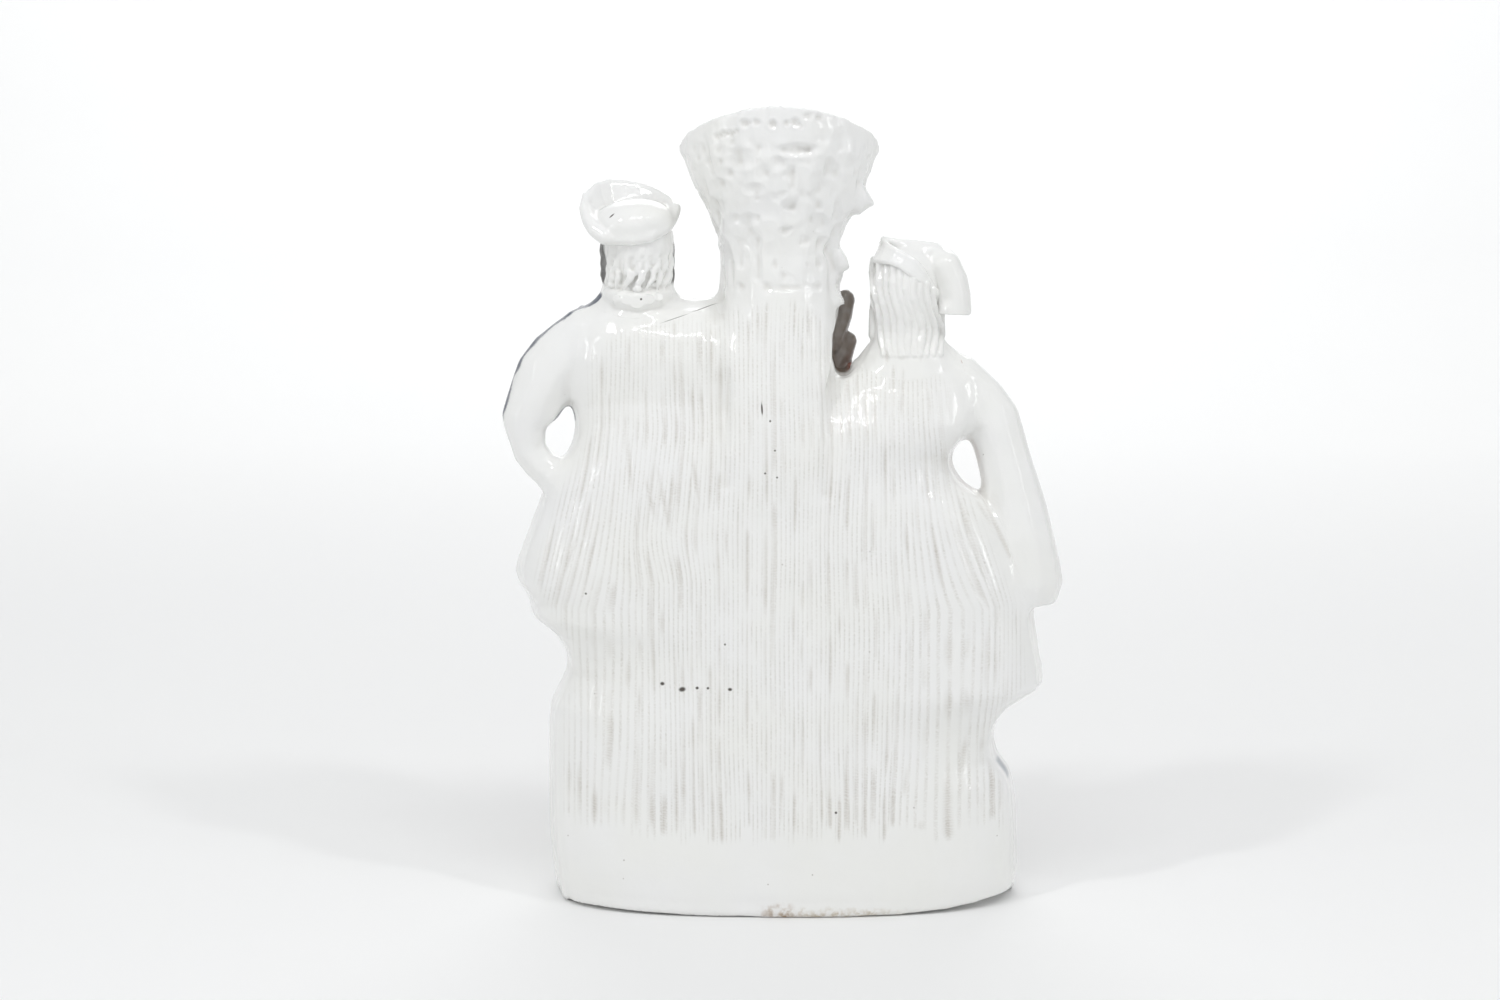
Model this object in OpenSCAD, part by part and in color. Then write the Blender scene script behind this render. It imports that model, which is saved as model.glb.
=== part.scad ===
// Earthenware spill vase: a man and a woman stand either side of a hollow tree trunk.
// Pressed half shells on a base slab, with heads, hats, limbs and branches luted on.
// +X is the woman's side, -Y is the plain combed back, +Z is up and z = 0 is the foot.

/* [Base] */
// Width of the base above the foot
base_w = 231; // [216:1:248]
// How far the foot draws in at each side
foot_taper = 2.5; // [0:0.5:6]
// Depth of the foot, back to front
base_d = 114; // [100:1:128]
// Thickness of the slab that closes the foot
slab_t = 7; // [5:0.5:10]
// Diameter of the firing vent in the slab
vent_d = 6; // [4:0.5:10]

/* [Shells] */
// Thickness of the pressed wall
wall = 7; // [5:0.5:9]
// Depth of the back shell at the waist
back_waist_d = 40; // [34:1:46]
// Depth of the back shell below the shoulders
back_shoulder_d = 32; // [27:1:38]
// Depth of the front shell between the figures and the trunk
front_ground_d = 18; // [14:1:24]
// Height of the mound at the front of the foot
mound_h = 30; // [22:1:40]
// Radius of the clay roll pressed along the inside of the seam
roll_r = 5; // [3:0.5:7]

/* [Man] */
// Distance of the man's middle from the centre
man_x = 71; // [67:1:75]
// Height of the man's shoulders
man_shoulder_z = 294; // [286:1:302]
// Distance of the man's shoulder point from the centre
man_shoulder_x = 107; // [102:1:112]
// Height of the man's waist
man_waist_z = 228; // [220:1:236]
// Distance of the man's waist from the centre
man_waist_x = 102; // [96:1:106]
// Height of the man's hip
hip_z = 203; // [196:1:210]
// Distance of the man's hip from the centre
hip_x = 116; // [110:1:122]
// Height of the tip of the coat tail
coat_tail_z = 160; // [152:1:168]
// Distance of the tip of the coat tail from the centre
coat_tail_x = 131; // [124:1:136]
// Height of the notch under the coat tail
coat_notch_z = 115; // [106:1:122]
// Distance of the notch under the coat tail from the centre
coat_notch_x = 106; // [98:1:112]
// Height of the hem of the kilt
kilt_hem_z = 116; // [106:1:126]
// Width of the man's head with its hair
man_head_w = 36; // [32:1:40]
// Depth of the man's head
man_head_d = 42; // [38:1:46]
// Height of the man's head from the shoulders to the crown
man_head_h = 46; // [42:1:50]
// Width of the bonnet
bonnet_w = 47; // [42:1:52]
// Height of the bonnet
bonnet_h = 29; // [24:1:34]
// Height of the band of the bonnet above the shoulders
bonnet_lift = 28.5; // [25:0.5:32]
// Thickness of the man's upper arm
man_arm_t = 31; // [27:1:34]
// Reach of the elbow from the centre
elbow_x = 137; // [132:1:142]
// Thickness of the man's calf
calf_t = 22; // [18:1:26]
// Distance between the middles of the man's legs
leg_gap = 33; // [28:1:36]
// How far the toes turn out
toe_turn = 6; // [0:1:10]

/* [Woman] */
// Distance of the woman's middle from the centre
woman_x = 60; // [56:1:64]
// Height of the woman's shoulders
woman_shoulder_z = 268; // [262:1:276]
// Distance of the woman's shoulder point from the centre
woman_shoulder_x = 100; // [95:1:105]
// Height of the woman's waist
woman_waist_z = 216; // [208:1:224]
// Distance of the woman's waist from the centre
woman_waist_x = 82; // [76:1:86]
// Height of the low corner of the shawl
shawl_z = 107; // [102:1:114]
// Distance of the low corner of the shawl from the centre
shawl_x = 128; // [122:1:133]
// Height of the notch under the shawl
shawl_notch_z = 77; // [70:1:84]
// Distance of the notch under the shawl from the centre
shawl_notch_x = 105; // [98:1:110]
// Width of the woman's head with its hair
woman_head_w = 36; // [32:1:40]
// Depth of the woman's head
woman_head_d = 41; // [37:1:45]
// Height of the woman's head from the shoulders to the crown
woman_head_h = 50; // [46:1:54]
// Width of the cap
cap_w = 54; // [48:1:60]
// Height of the cap across its slanted band
cap_h = 26; // [22:1:30]
// Height of the middle of the cap's band above the shoulders
cap_lift = 34.5; // [30:0.5:38]
// Slant of the band of the cap
cap_slant = 33; // [25:1:40]
// Thickness of the sleeve at its cuff
cuff_t = 34; // [29:1:38]
// Reach of the cuff from the centre
cuff_x = 137; // [132:1:142]
// Height of the lower edge of the cuff
cuff_z = 146; // [140:1:152]

/* [Trunk] */
// Sideways place of the trunk
trunk_x = -2; // [-5:0.5:3]
// Width of the trunk at its waist
trunk_w = 58; // [54:1:62]
// Depth of the trunk at its waist
trunk_d = 54; // [50:1:58]
// Height of the foot of the trunk's tube, inside the shells
trunk_foot_z = 236; // [230:1:242]
// Height of the waist of the trunk
trunk_waist_z = 318; // [312:1:324]
// Width of the mouth
mouth_w = 97; // [90:1:104]
// Depth of the mouth
mouth_d = 74; // [68:1:80]
// Height of the rim at the back
rim_back_z = 390; // [384:1:398]
// Height of the rim at the front
rim_front_z = 350; // [344:1:356]
// Thickness of the trunk's wall
trunk_wall = 6; // [5:0.5:8]
// Height of the upper face of the well's floor
floor_z = 304; // [300:1:310]
// Thickness of the well's floor
floor_t = 7; // [5:0.5:8]
// Height of the upper knot on the trunk's side
upper_knot_z = 342; // [338:1:346]
// Height of the lower knot on the trunk's side
lower_knot_z = 309; // [305:1:313]
// Thickness of the knots
knot_t = 12; // [10:0.5:14]
// Height of the upper branch stub on the trunk's front
upper_stub_z = 291; // [287:1:295]
// Height of the lower branch stub on the trunk's front
lower_stub_z = 273; // [269:1:277]
// Thickness of the branch stubs
stub_t = 12.5; // [11:0.5:15]

/* [Hidden] */

glaze = "#eceef0";
bark_brown = "#5a4a42";

// Grid of the shells, and sides of the lofted pieces
cells_x = 28;
cells_z = 32;
ring_sides = 16;
limb_sides = 10;
roll_sides = 6;
// Roundness of the shells in plan, and of their top edge
plan_power = 2.7;
shoulder_roll = 30;
// How sharply the forms on the front meet, and how round they are
front_power = 3;
form_round = 1.1;
// Roundness of the trunk in plan, up to its mouth, which is drawn out to a point at each seam
trunk_power = 2;
mouth_power = 1.65;
eps = 0.01;
big = 500;

// Curves

// Slope at a point of a curve, level at its ends
function slope(p, i) =
  i == 0 || i == len(p) - 1 ? 0 : (p[i + 1][1] - p[i - 1][1]) / (p[i + 1][0] - p[i - 1][0]);

// Stretch of a curve that holds the place t
function stretch(p, t, i = 0) =
  i >= len(p) - 2 || t < p[i + 1][0] ? i : stretch(p, t, i + 1);

// Smooth curve through [place, value] points
function curve(p, t) =
  let (
    i = stretch(p, t),
    h = p[i + 1][0] - p[i][0],
    s = min(1, max(0, (t - p[i][0]) / h))
  )
  p[i][1] * (2 * s^3 - 3 * s^2 + 1) + h * slope(p, i) * (s^3 - 2 * s^2 + s)
  + p[i + 1][1] * (3 * s^2 - 2 * s^3) + h * slope(p, i + 1) * (s^3 - s^2);

function mix(a, b, t) = a + (b - a) * t;

// Round edge: 0 at the edge, 1 from one radius inwards
function edge_roll(t) = sqrt(1 - (1 - min(1, max(0, t)))^2);

// Half of an oval, across from -1 to 1
function oval(t, power) = (1 - min(1, abs(t))^power)^(1 / power);

// Rounded swelling, across from -1 to 1
function swell(t) = (1 - min(1, abs(t))^2)^form_round;

// Outline of the shells in the seam plane

// Man's side, as [height, distance from the centre]
man_edge = [
  [0, base_w / 2 - foot_taper],
  [38, base_w / 2],
  [coat_notch_z - 20, base_w / 2 - 1],
  [coat_notch_z, coat_notch_x],
  [coat_notch_z + 16, coat_notch_x + 6],
  [coat_tail_z - 23, coat_tail_x - 9],
  [coat_tail_z - 10, coat_tail_x - 6],
  [coat_tail_z, coat_tail_x],
  [hip_z, hip_x],
  [man_waist_z, man_waist_x],
  [man_shoulder_z - 30, man_shoulder_x]
];

// Woman's side, from the foot past the shawl and the gap by her arm
woman_edge = [
  [0, base_w / 2 - foot_taper + 3],
  [12, base_w / 2 + 1],
  [shawl_notch_z - 18, base_w / 2 - 2],
  [shawl_notch_z - 8, shawl_notch_x + 1],
  [shawl_notch_z + 7, shawl_notch_x],
  [shawl_z - 10, shawl_x - 14],
  [shawl_z - 4, shawl_x - 1],
  [shawl_z + 8, shawl_x - 1],
  [cuff_z - 6, shawl_x - 5],
  [cuff_z + 16, shawl_x - 8],
  [woman_waist_z - 24, woman_waist_x + 24],
  [woman_waist_z - 11, woman_waist_x + 6],
  [woman_waist_z + 4, woman_waist_x],
  [woman_shoulder_z - 28, woman_shoulder_x - 2]
];

// Upper edge, as [place across, height]: shoulder, neck, saddle under the trunk, neck, shoulder
top_edge = [
  [-man_shoulder_x, man_shoulder_z - 30],
  [-man_shoulder_x + 7, man_shoulder_z - 7],
  [-man_x - 18, man_shoulder_z + 1],
  [-man_x, man_shoulder_z + 2],
  [-man_x + 22, man_shoulder_z + 1],
  [trunk_x - trunk_w / 2 + 3, man_shoulder_z - 1],
  [trunk_x, woman_shoulder_z - 4],
  [trunk_x + trunk_w / 2, woman_shoulder_z - 6],
  [woman_x - 18, woman_shoulder_z - 2],
  [woman_x, woman_shoulder_z + 1],
  [woman_x + 18, woman_shoulder_z + 2],
  [woman_shoulder_x - 7, woman_shoulder_z - 5],
  [woman_shoulder_x, woman_shoulder_z - 26]
];

// Depth of the shells

// Back, as [height, depth]
back_profile = [
  [0, base_d / 2],
  [37, base_d / 2 - 2],
  [man_waist_z - 90, mix(back_waist_d, base_d / 2, 0.5)],
  [man_waist_z, back_waist_d],
  [woman_shoulder_z - 20, back_shoulder_d]
];

// Trunk's ridge down the back, as [height, how far it stands out]
back_ridge = [[man_waist_z - 60, 0], [man_waist_z, 2], [woman_shoulder_z - 20, 5]];

function back_depth(x, z) =
  curve(back_profile, z) + curve(back_ridge, z) * oval((x - trunk_x) / (trunk_w / 2), 2);

// Forms that stand out of the front: half widths and depths, as [height, size]
man_half_w = [[kilt_hem_z - 12, 54], [hip_z, 42], [man_waist_z, 36], [man_shoulder_z - 30, 46]];
man_depth = [
  [kilt_hem_z - 12, 0],
  [kilt_hem_z, 45],
  [hip_z, 40],
  [man_waist_z, 34],
  [man_shoulder_z - 28, 40],
  [man_shoulder_z, 22]
];
woman_half_w = [
  [mound_h, 62],
  [woman_waist_z - 60, 50],
  [woman_waist_z + 6, 34],
  [woman_shoulder_z - 16, 40]
];
woman_depth = [
  [mound_h * 0.4, 0],
  [mound_h + 10, base_d / 2 - 6],
  [woman_waist_z - 60, 45],
  [woman_waist_z + 6, 31],
  [woman_shoulder_z - 24, 38],
  [woman_shoulder_z, 20]
];
trunk_half_w = [[mound_h, trunk_w / 2 + 14], [mound_h + 40, trunk_w / 2 + 8]];
trunk_depth = [[mound_h * 0.4, 0], [mound_h + 10, trunk_d / 2 + 14], [mound_h + 60, trunk_d / 2 + 4]];
ground_depth = [[0, base_d / 2], [mound_h * 0.7, base_d / 2 - 3], [mound_h + 25, front_ground_d]];

function form(x, centre, half_w, depth, z) =
  curve(depth, z) * swell((x - centre) / curve(half_w, z));

function front_depth(x, z) =
  (curve(ground_depth, z)^front_power
  + form(x, -man_x, man_half_w, man_depth, z)^front_power
  + form(x, woman_x, woman_half_w, woman_depth, z)^front_power
  + form(x, trunk_x, trunk_half_w, trunk_depth, z)^front_power)^(1 / front_power);

// Shell surfaces as grids of points: u runs across and v runs up

// Steps across, closer together at both sides, and up, closer together at the top
steps_u = [for (i = [0:cells_x]) mix(i / cells_x, (1 - cos(180 * i / cells_x)) / 2, 0.5)];
steps_v = [for (j = [0:cells_z]) 1 - (1 - j / cells_z)^1.12];
// The steps are level up to the waist, and above it follow the top edge
level_z = woman_waist_z - 8;
level_v = (level_z - slab_t) / (woman_shoulder_z - slab_t);

function depth(x, z, side) = side < 0 ? back_depth(x, z) : front_depth(x, z);

// Depth of the clay's inner face under an outer depth d
function hollow(d) = d - wall * (1 - exp(-d / wall));

// One point of a shell, inset from the outline, on the back (side = -1) or the front (side = 1).
// An inner face keeps clear of the shallowest place within the inset, so that steep walls stay thick.
function shell_point(u, v, side, inset) =
  let (
    top = curve(top_edge, mix(-man_shoulder_x, woman_shoulder_x, u)),
    outer_z =
      v < level_v
      ? mix(slab_t, level_z, v / level_v)
      : mix(level_z, top, (v - level_v) / (1 - level_v)),
    z = outer_z - inset * v,
    x = mix(inset - curve(man_edge, outer_z), curve(woman_edge, outer_z) - inset, u),
    near = inset == 0 ? [[0, 0]] : inset * [[0, 0], [-1, 0], [1, 0], [0, -1], [0, 1]],
    d = min([for (n = near) depth(x + n[0], z + n[1], side)]),
    rolled = d * oval(2 * u - 1, plan_power) * edge_roll((top - outer_z) / shoulder_roll)
  )
  [x, side * (inset == 0 ? rolled : hollow(rolled)), z];

function shell_grid(side, inset) =
  [for (v = steps_v) [for (u = steps_u) shell_point(u, v, side, inset)]];

function flatten(rows) = [for (row = rows) each row];

// Two triangles for each cell of a grid of points, which starts at the given index
function grid_faces(rows, cols, start, flip) = [
  for (j = [0:rows - 2]) for (i = [0:cols - 2])
    let (a = start + j * cols + i, b = a + 1, c = a + cols, d = c + 1)
    each flip ? [[a, c, b], [b, c, d]] : [[a, b, c], [b, d, c]]
];

// Indices round the edge of a grid
function grid_rim(rows, cols) = concat(
  [for (i = [0:cols - 1]) i],
  [for (j = [1:rows - 1]) j * cols + cols - 1],
  [for (i = [cols - 2:-1:0]) (rows - 1) * cols + i],
  [for (j = [rows - 2:-1:1]) j * cols]
);

// Two triangles for each step round the strip between two grids' edges
function rim_faces(rim, lift, flip) = [
  for (k = [0:len(rim) - 1])
    let (a = rim[k], b = rim[(k + 1) % len(rim)], c = a + lift, d = b + lift)
    each flip ? [[a, b, c], [b, d, c]] : [[a, c, b], [b, c, d]]
];

// Closed solid between two grids of the same size
module between(first, second, flip) {
  rows = len(first);
  cols = len(first[0]);
  count = rows * cols;
  polyhedron(
    points = concat(flatten(first), flatten(second)),
    faces = concat(
      grid_faces(rows, cols, 0, flip),
      grid_faces(rows, cols, count, !flip),
      rim_faces(grid_rim(rows, cols), count, flip)
    )
  );
}

// Closed solid of a front and a back grid that meet in the seam plane
module pillow(inset) {
  back = shell_grid(-1, inset);
  front = shell_grid(1, inset);
  rows = len(back);
  cols = len(back[0]);
  count = rows * cols;
  // The front's sides and top are the back's own points
  shared = [
    for (j = [0:rows - 1]) for (i = [0:cols - 1])
      i == 0 || i == cols - 1 || j == rows - 1 ? j * cols + i : count + j * cols + i
  ];
  front_faces = [for (f = grid_faces(rows, cols, 0, false)) [for (k = f) shared[k]]];
  foot = concat([for (i = [0:cols - 1]) i], [for (i = [cols - 2:-1:1]) count + i]);
  polyhedron(
    points = concat(flatten(back), flatten(front)),
    faces = concat(grid_faces(rows, cols, 0, true), front_faces, [foot])
  );
}

// Lofted pieces

// Oval ring of points, rounder or more pointed at the sides with its power
function ring(centre, half_w, half_d, power = 2) = [
  for (k = [0:ring_sides - 1])
    let (c = cos(360 * k / ring_sides), s = sin(360 * k / ring_sides))
    centre + [half_w * sign(c) * abs(c)^(2 / power), half_d * sign(s) * abs(s)^(2 / power), 0]
];

// Loft through rings, one hull from each ring to the next
module loft(rings) {
  for (i = [0:len(rings) - 2])
    hull() polyhedron(
      points = concat(rings[i], rings[i + 1]),
      faces = [[for (k = [0:len(rings[i]) + len(rings[i + 1]) - 1]) k]]
    );
}

// Limb along a path of [x, y, z, thickness], flatter from back to front
module limb(path, flat = 0.85, sides = limb_sides) {
  for (i = [0:len(path) - 2])
    hull()
      for (p = [path[i], path[i + 1]])
        translate([p[0], p[1], p[2]])
          scale([1, flat, 1])
            sphere(d = p[3], $fn = sides);
}

// Trunk

// Rows of [height, share of the flare, share of the way to the mouth's plan] up the trunk
trunk_rows = [
  [trunk_foot_z, -0.08, 0],
  [woman_shoulder_z, -0.05, 0],
  [mix(woman_shoulder_z, trunk_waist_z, 0.5), 0, 0],
  [trunk_waist_z, 0, 0],
  [mix(trunk_waist_z, rim_front_z, 0.3), 0.1, 0],
  [mix(trunk_waist_z, rim_front_z, 0.6), 0.31, 0.1],
  [rim_front_z, 0.64, 0.4],
  [mix(rim_front_z, rim_back_z, 0.4), 1, 1],
  [rim_back_z + 2, 1.04, 1]
];

module trunk_form(inset) {
  loft([
    for (row = trunk_rows)
      ring(
        [trunk_x, 0, row[0]],
        mix(trunk_w, mouth_w, row[1]) / 2 - inset,
        mix(trunk_d, mouth_d, row[1]) / 2 - inset,
        mix(trunk_power, mouth_power, row[2])
      )
  ]);
}

// All that lies above the slanted rim
module above_rim() {
  slant = atan2(rim_back_z - rim_front_z, mouth_d);
  translate([0, 0, (rim_back_z + rim_front_z) / 2])
    rotate([-slant, 0, 0])
      translate([-big / 2, -big / 2, 0])
        cube([big, big, big]);
}

// Half of the trunk's tube, on the back (side = -1) or the front (side = 1)
module trunk_half(side) {
  difference() {
    trunk_form(0);
    trunk_form(trunk_wall);
    pillow(0);
    above_rim();
    translate([-big / 2, side < 0 ? 0 : -big, 0])
      cube([big, big, big]);
  }
}

// Broken branch or knot, whole
module stub_form(from, to, thick) {
  limb([concat(from, [thick]), concat(mix(from, to, 0.6), [thick]), concat(to, [thick * 0.7])], 1);
}

// The same, cut off where it grows out of the trunk's side
module stub(from, to, thick) {
  difference() {
    stub_form(from, to, thick);
    trunk_form(0);
    pillow(0);
  }
}

// Ends of the two branch stubs, which rise outwards from the trunk
trunk_side = trunk_x + trunk_w / 2;
upper_stub_from = [trunk_side - 5, 14, upper_stub_z - 19];
upper_stub_to = [trunk_side + 3.5, 18, upper_stub_z + 1.5];
lower_stub_from = [trunk_side - 5, 14, lower_stub_z - 17];
lower_stub_to = [trunk_side + 4.5, 19, lower_stub_z - 1];

// Heads, hats and limbs in the places where they join

man_head_rows = [
  [-0.22, 0.98, 0.8, 0],
  [0.02, 0.98, 0.8, 0],
  [0.14, 0.93, 0.82, 0.02],
  [0.26, 0.92, 0.88, 0.05],
  [0.4, 0.96, 0.96, 0.05],
  [0.55, 1, 1, 0.03],
  [0.7, 0.98, 0.99, 0.02],
  [0.84, 0.88, 0.9, 0],
  [0.95, 0.62, 0.66, -0.02],
  [1, 0.3, 0.34, -0.02]
];

woman_head_rows = [
  [-0.2, 1.2, 0.84, -0.06],
  [0.02, 1.12, 0.84, -0.06],
  [0.14, 0.96, 0.84, -0.02],
  [0.26, 0.9, 0.88, 0.04],
  [0.4, 0.94, 0.96, 0.05],
  [0.56, 1, 1, 0.03],
  [0.72, 0.98, 0.99, 0.02],
  [0.86, 0.86, 0.88, 0],
  [0.96, 0.56, 0.6, -0.02],
  [1, 0.3, 0.32, -0.02]
];

// Head of a figure from rows of [height, width, depth, place forwards], each a share of its size
module head_form(rows, x, z, w, d, h) {
  loft([for (r = rows) ring([x, r[3] * d, z + r[0] * h], r[1] * w / 2, r[2] * d / 2)]);
  // Plain wedge of a nose
  limb([[x, d * 0.48, z + h * 0.58, w * 0.14], [x, d * 0.54, z + h * 0.42, w * 0.2]], 1);
}

module man_head_form() {
  head_form(man_head_rows, -man_x + 0.5, man_shoulder_z, man_head_w, man_head_d, man_head_h);
}

module woman_head_form() {
  head_form(woman_head_rows, woman_x, woman_shoulder_z, woman_head_w, woman_head_d, woman_head_h);
}

// Rows of a hat: [height, width, place across], as shares of its height and width
bonnet_rows = [
  [0, 0.66, -0.03],
  [0.09, 0.76, -0.05],
  [0.22, 0.84, -0.05],
  [0.4, 0.94, -0.08],
  [0.57, 1, -0.08],
  [0.71, 0.93, -0.1],
  [0.84, 0.7, -0.16],
  [0.94, 0.46, -0.21],
  [1, 0.2, -0.23]
];

cap_rows = [
  [0, 0.74, 0.05],
  [0.12, 0.86, 0.07],
  [0.27, 1, 0.1],
  [0.42, 1, 0.1],
  [0.61, 0.82, 0.1],
  [0.77, 0.67, 0.1],
  [0.91, 0.46, 0.11],
  [1, 0.22, 0.11]
];

module hat_form(rows, w, d, h) {
  loft([for (r = rows) ring([r[2] * w, 0, r[0] * h], r[1] * w / 2, r[1] * d / 2)]);
}

// Man's arm with the hand on the hip
akimbo_path = [
  [-man_shoulder_x + 8, -2, man_shoulder_z - 20, man_arm_t],
  [-man_shoulder_x - 1, -3, man_shoulder_z - 27, man_arm_t],
  [-man_shoulder_x - 9, -4, man_shoulder_z - 38, man_arm_t],
  [mix(-man_shoulder_x, -elbow_x + man_arm_t * 0.38, 0.75), -5, man_shoulder_z - 48, man_arm_t * 0.92],
  [-elbow_x + man_arm_t * 0.38, -6, man_waist_z + 11, man_arm_t * 0.76],
  [-elbow_x + man_arm_t * 0.36, -6, man_waist_z + 4, man_arm_t * 0.66],
  [mix(-hip_x, -elbow_x, 0.4), -6, man_waist_z - 6, man_arm_t * 0.54],
  [mix(-hip_x, -elbow_x, 0.15), -7, hip_z + 12, man_arm_t * 0.52],
  [-hip_x + 4, -9, hip_z + 6, man_arm_t * 0.56],
  [-hip_x + 12, -12, hip_z + 2, man_arm_t * 0.6]
];

// Woman's sleeve, from her shoulder down to the cuff
sleeve_path = [
  [woman_shoulder_x - 12, -2, woman_shoulder_z - 14, 24],
  [woman_shoulder_x - 5, -3, woman_shoulder_z - 22, 26],
  [mix(woman_shoulder_x, cuff_x - cuff_t / 2, 0.15), -4, woman_shoulder_z - 34, 28],
  [mix(woman_shoulder_x, cuff_x - cuff_t / 2, 0.36), -5, woman_waist_z + 4, 27.5],
  [mix(woman_shoulder_x, cuff_x - cuff_t / 2, 0.53), -6, woman_waist_z - 9, cuff_t * 0.84],
  [mix(woman_shoulder_x, cuff_x - cuff_t / 2, 0.7), -7, woman_waist_z - 24, cuff_t * 0.92],
  [mix(woman_shoulder_x, cuff_x - cuff_t / 2, 0.84), -8, mix(cuff_z, woman_waist_z, 0.46), cuff_t * 0.97],
  [mix(woman_shoulder_x, cuff_x - cuff_t / 2, 0.95), -8, cuff_z + 19, cuff_t],
  [cuff_x - cuff_t / 2, -8, cuff_z + 10, cuff_t]
];

// Arms that meet in front of the trunk, hand in hand
hand_y = trunk_d / 2 + 13;
hand_z = man_waist_z - 20;
man_reach = [
  [-man_x + 27, 10, man_shoulder_z - 22, 26],
  [-man_x + 29, 17, man_shoulder_z - 32, 26],
  [-man_x + 31, 24, man_shoulder_z - 43, 25],
  [-man_x + 35, 30, man_shoulder_z - 53, 24],
  [-man_x + 41, hand_y - 6, man_shoulder_z - 62, 22],
  [mix(-man_x + 41, trunk_x, 0.3), hand_y - 3, mix(man_shoulder_z - 62, hand_z, 0.3), 20],
  [mix(-man_x + 41, trunk_x, 0.55), hand_y - 1, mix(man_shoulder_z - 62, hand_z, 0.55), 18],
  [mix(-man_x + 41, trunk_x, 0.8), hand_y, mix(man_shoulder_z - 62, hand_z, 0.8), 16],
  [trunk_x + 3, hand_y, hand_z, 15]
];
woman_reach = [
  [woman_x - 24, 8, woman_shoulder_z - 22, 22],
  [woman_x - 25, 15, woman_shoulder_z - 31, 22],
  [woman_x - 27, 22, woman_shoulder_z - 40, 21],
  [woman_x - 30, 28, woman_shoulder_z - 48, 20],
  [mix(woman_x - 30, trunk_x, 0.2), hand_y - 7, mix(woman_shoulder_z - 48, hand_z, 0.35), 19],
  [mix(woman_x - 30, trunk_x, 0.4), hand_y - 4, mix(woman_shoulder_z - 48, hand_z, 0.6), 17.5],
  [mix(woman_x - 30, trunk_x, 0.6), hand_y - 2, mix(woman_shoulder_z - 48, hand_z, 0.8), 16],
  [mix(woman_x - 30, trunk_x, 0.8), hand_y - 1, mix(woman_shoulder_z - 48, hand_z, 0.95), 15],
  [trunk_x + 2, hand_y - 1, hand_z - 3, 14]
];

// Leg with its shoe, at a place across; toe is how far the shoe turns out
function leg_path(x, toe) = [
  [x, front_ground_d + 6, kilt_hem_z + 8, calf_t],
  [x, front_ground_d + 7, kilt_hem_z - 8, calf_t],
  [x, front_ground_d + 7, mix(mound_h, kilt_hem_z, 0.76), calf_t],
  [x, front_ground_d + 6, mix(mound_h, kilt_hem_z, 0.6), calf_t * 0.92],
  [x, front_ground_d + 6, mix(mound_h, kilt_hem_z, 0.42), calf_t * 0.78],
  [x, front_ground_d + 6, mix(mound_h, kilt_hem_z, 0.24), calf_t * 0.7],
  [x, front_ground_d + 7, mound_h + 12, calf_t * 0.76],
  [x + toe * 0.4, front_ground_d + 14, mound_h + 6, calf_t * 0.78],
  [x + toe, front_ground_d + 25, mound_h + 2, calf_t * 0.6]
];

// Pieces

module base_slab() {
  foot = concat(
    [for (u = steps_u) shell_point(u, 0, -1, 0)],
    [for (i = [cells_x - 1:-1:1]) shell_point(steps_u[i], 0, 1, 0)]
  );
  color(glaze)
    difference() {
      linear_extrude(slab_t)
        polygon([for (p = foot) [p[0], p[1]]]);
      translate([0, base_d / 5, -eps])
        cylinder(h = slab_t + 2 * eps, d = vent_d, $fn = 48);
    }
}

module body_back() {
  color(glaze) between(shell_grid(-1, 0), shell_grid(-1, wall), true);
}

module body_front() {
  color(glaze) between(shell_grid(1, 0), shell_grid(1, wall), false);
}

// The roll follows the inner edge of the seam, from foot to foot over the shoulders
module seam_roll() {
  grid = shell_grid(-1, wall + roll_r / 2);
  up = [for (j = [0:4:cells_z]) j];
  path = concat(
    [for (j = up) grid[j][0]],
    [for (i = [2:2:cells_x - 2]) grid[cells_z][i]],
    [for (k = [len(up) - 1:-1:0]) grid[up[k]][cells_x]]
  );
  color(glaze)
    intersection() {
      limb([for (p = path) [p[0], 0, p[2], 2 * roll_r]], 1, roll_sides);
      pillow(wall);
    }
}

module trunk_back() {
  color(glaze) trunk_half(-1);
}

module trunk_front() {
  color(glaze) trunk_half(1);
}

module well_floor() {
  color(glaze)
    intersection() {
      trunk_form(trunk_wall);
      translate([-big / 2, -big / 2, floor_z - floor_t])
        cube([big, big, floor_t]);
    }
}

module side_knot_upper() {
  from = [trunk_side - 2, -4, upper_knot_z - 2];
  to = [trunk_side + 11, -6, upper_knot_z];
  color(glaze) stub(from, to, knot_t);
}

module side_knot_lower() {
  from = [trunk_side - 6, -3, lower_knot_z - 3];
  to = [trunk_side - 1, -4, lower_knot_z + 2];
  color(glaze) stub(from, to, knot_t - 1);
}

module branch_stub_upper() {
  color(bark_brown) stub(upper_stub_from, upper_stub_to, stub_t);
}

// The lower stub is pressed up against the upper one
module branch_stub_lower() {
  color(bark_brown)
    difference() {
      stub(lower_stub_from, lower_stub_to, stub_t);
      stub_form(upper_stub_from, upper_stub_to, stub_t);
    }
}

module man_head() {
  color(glaze)
    difference() {
      man_head_form();
      pillow(0);
    }
}

module man_bonnet() {
  color(glaze)
    difference() {
      translate([-man_x, 0, man_shoulder_z + bonnet_lift])
        hat_form(bonnet_rows, bonnet_w, bonnet_w * 1.08, bonnet_h);
      man_head_form();
    }
}

module man_left_arm() {
  color(glaze)
    difference() {
      limb(akimbo_path);
      pillow(0);
    }
}

module man_right_arm() {
  color(glaze)
    difference() {
      limb(man_reach, 1);
      pillow(0);
      trunk_form(0);
    }
}

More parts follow.
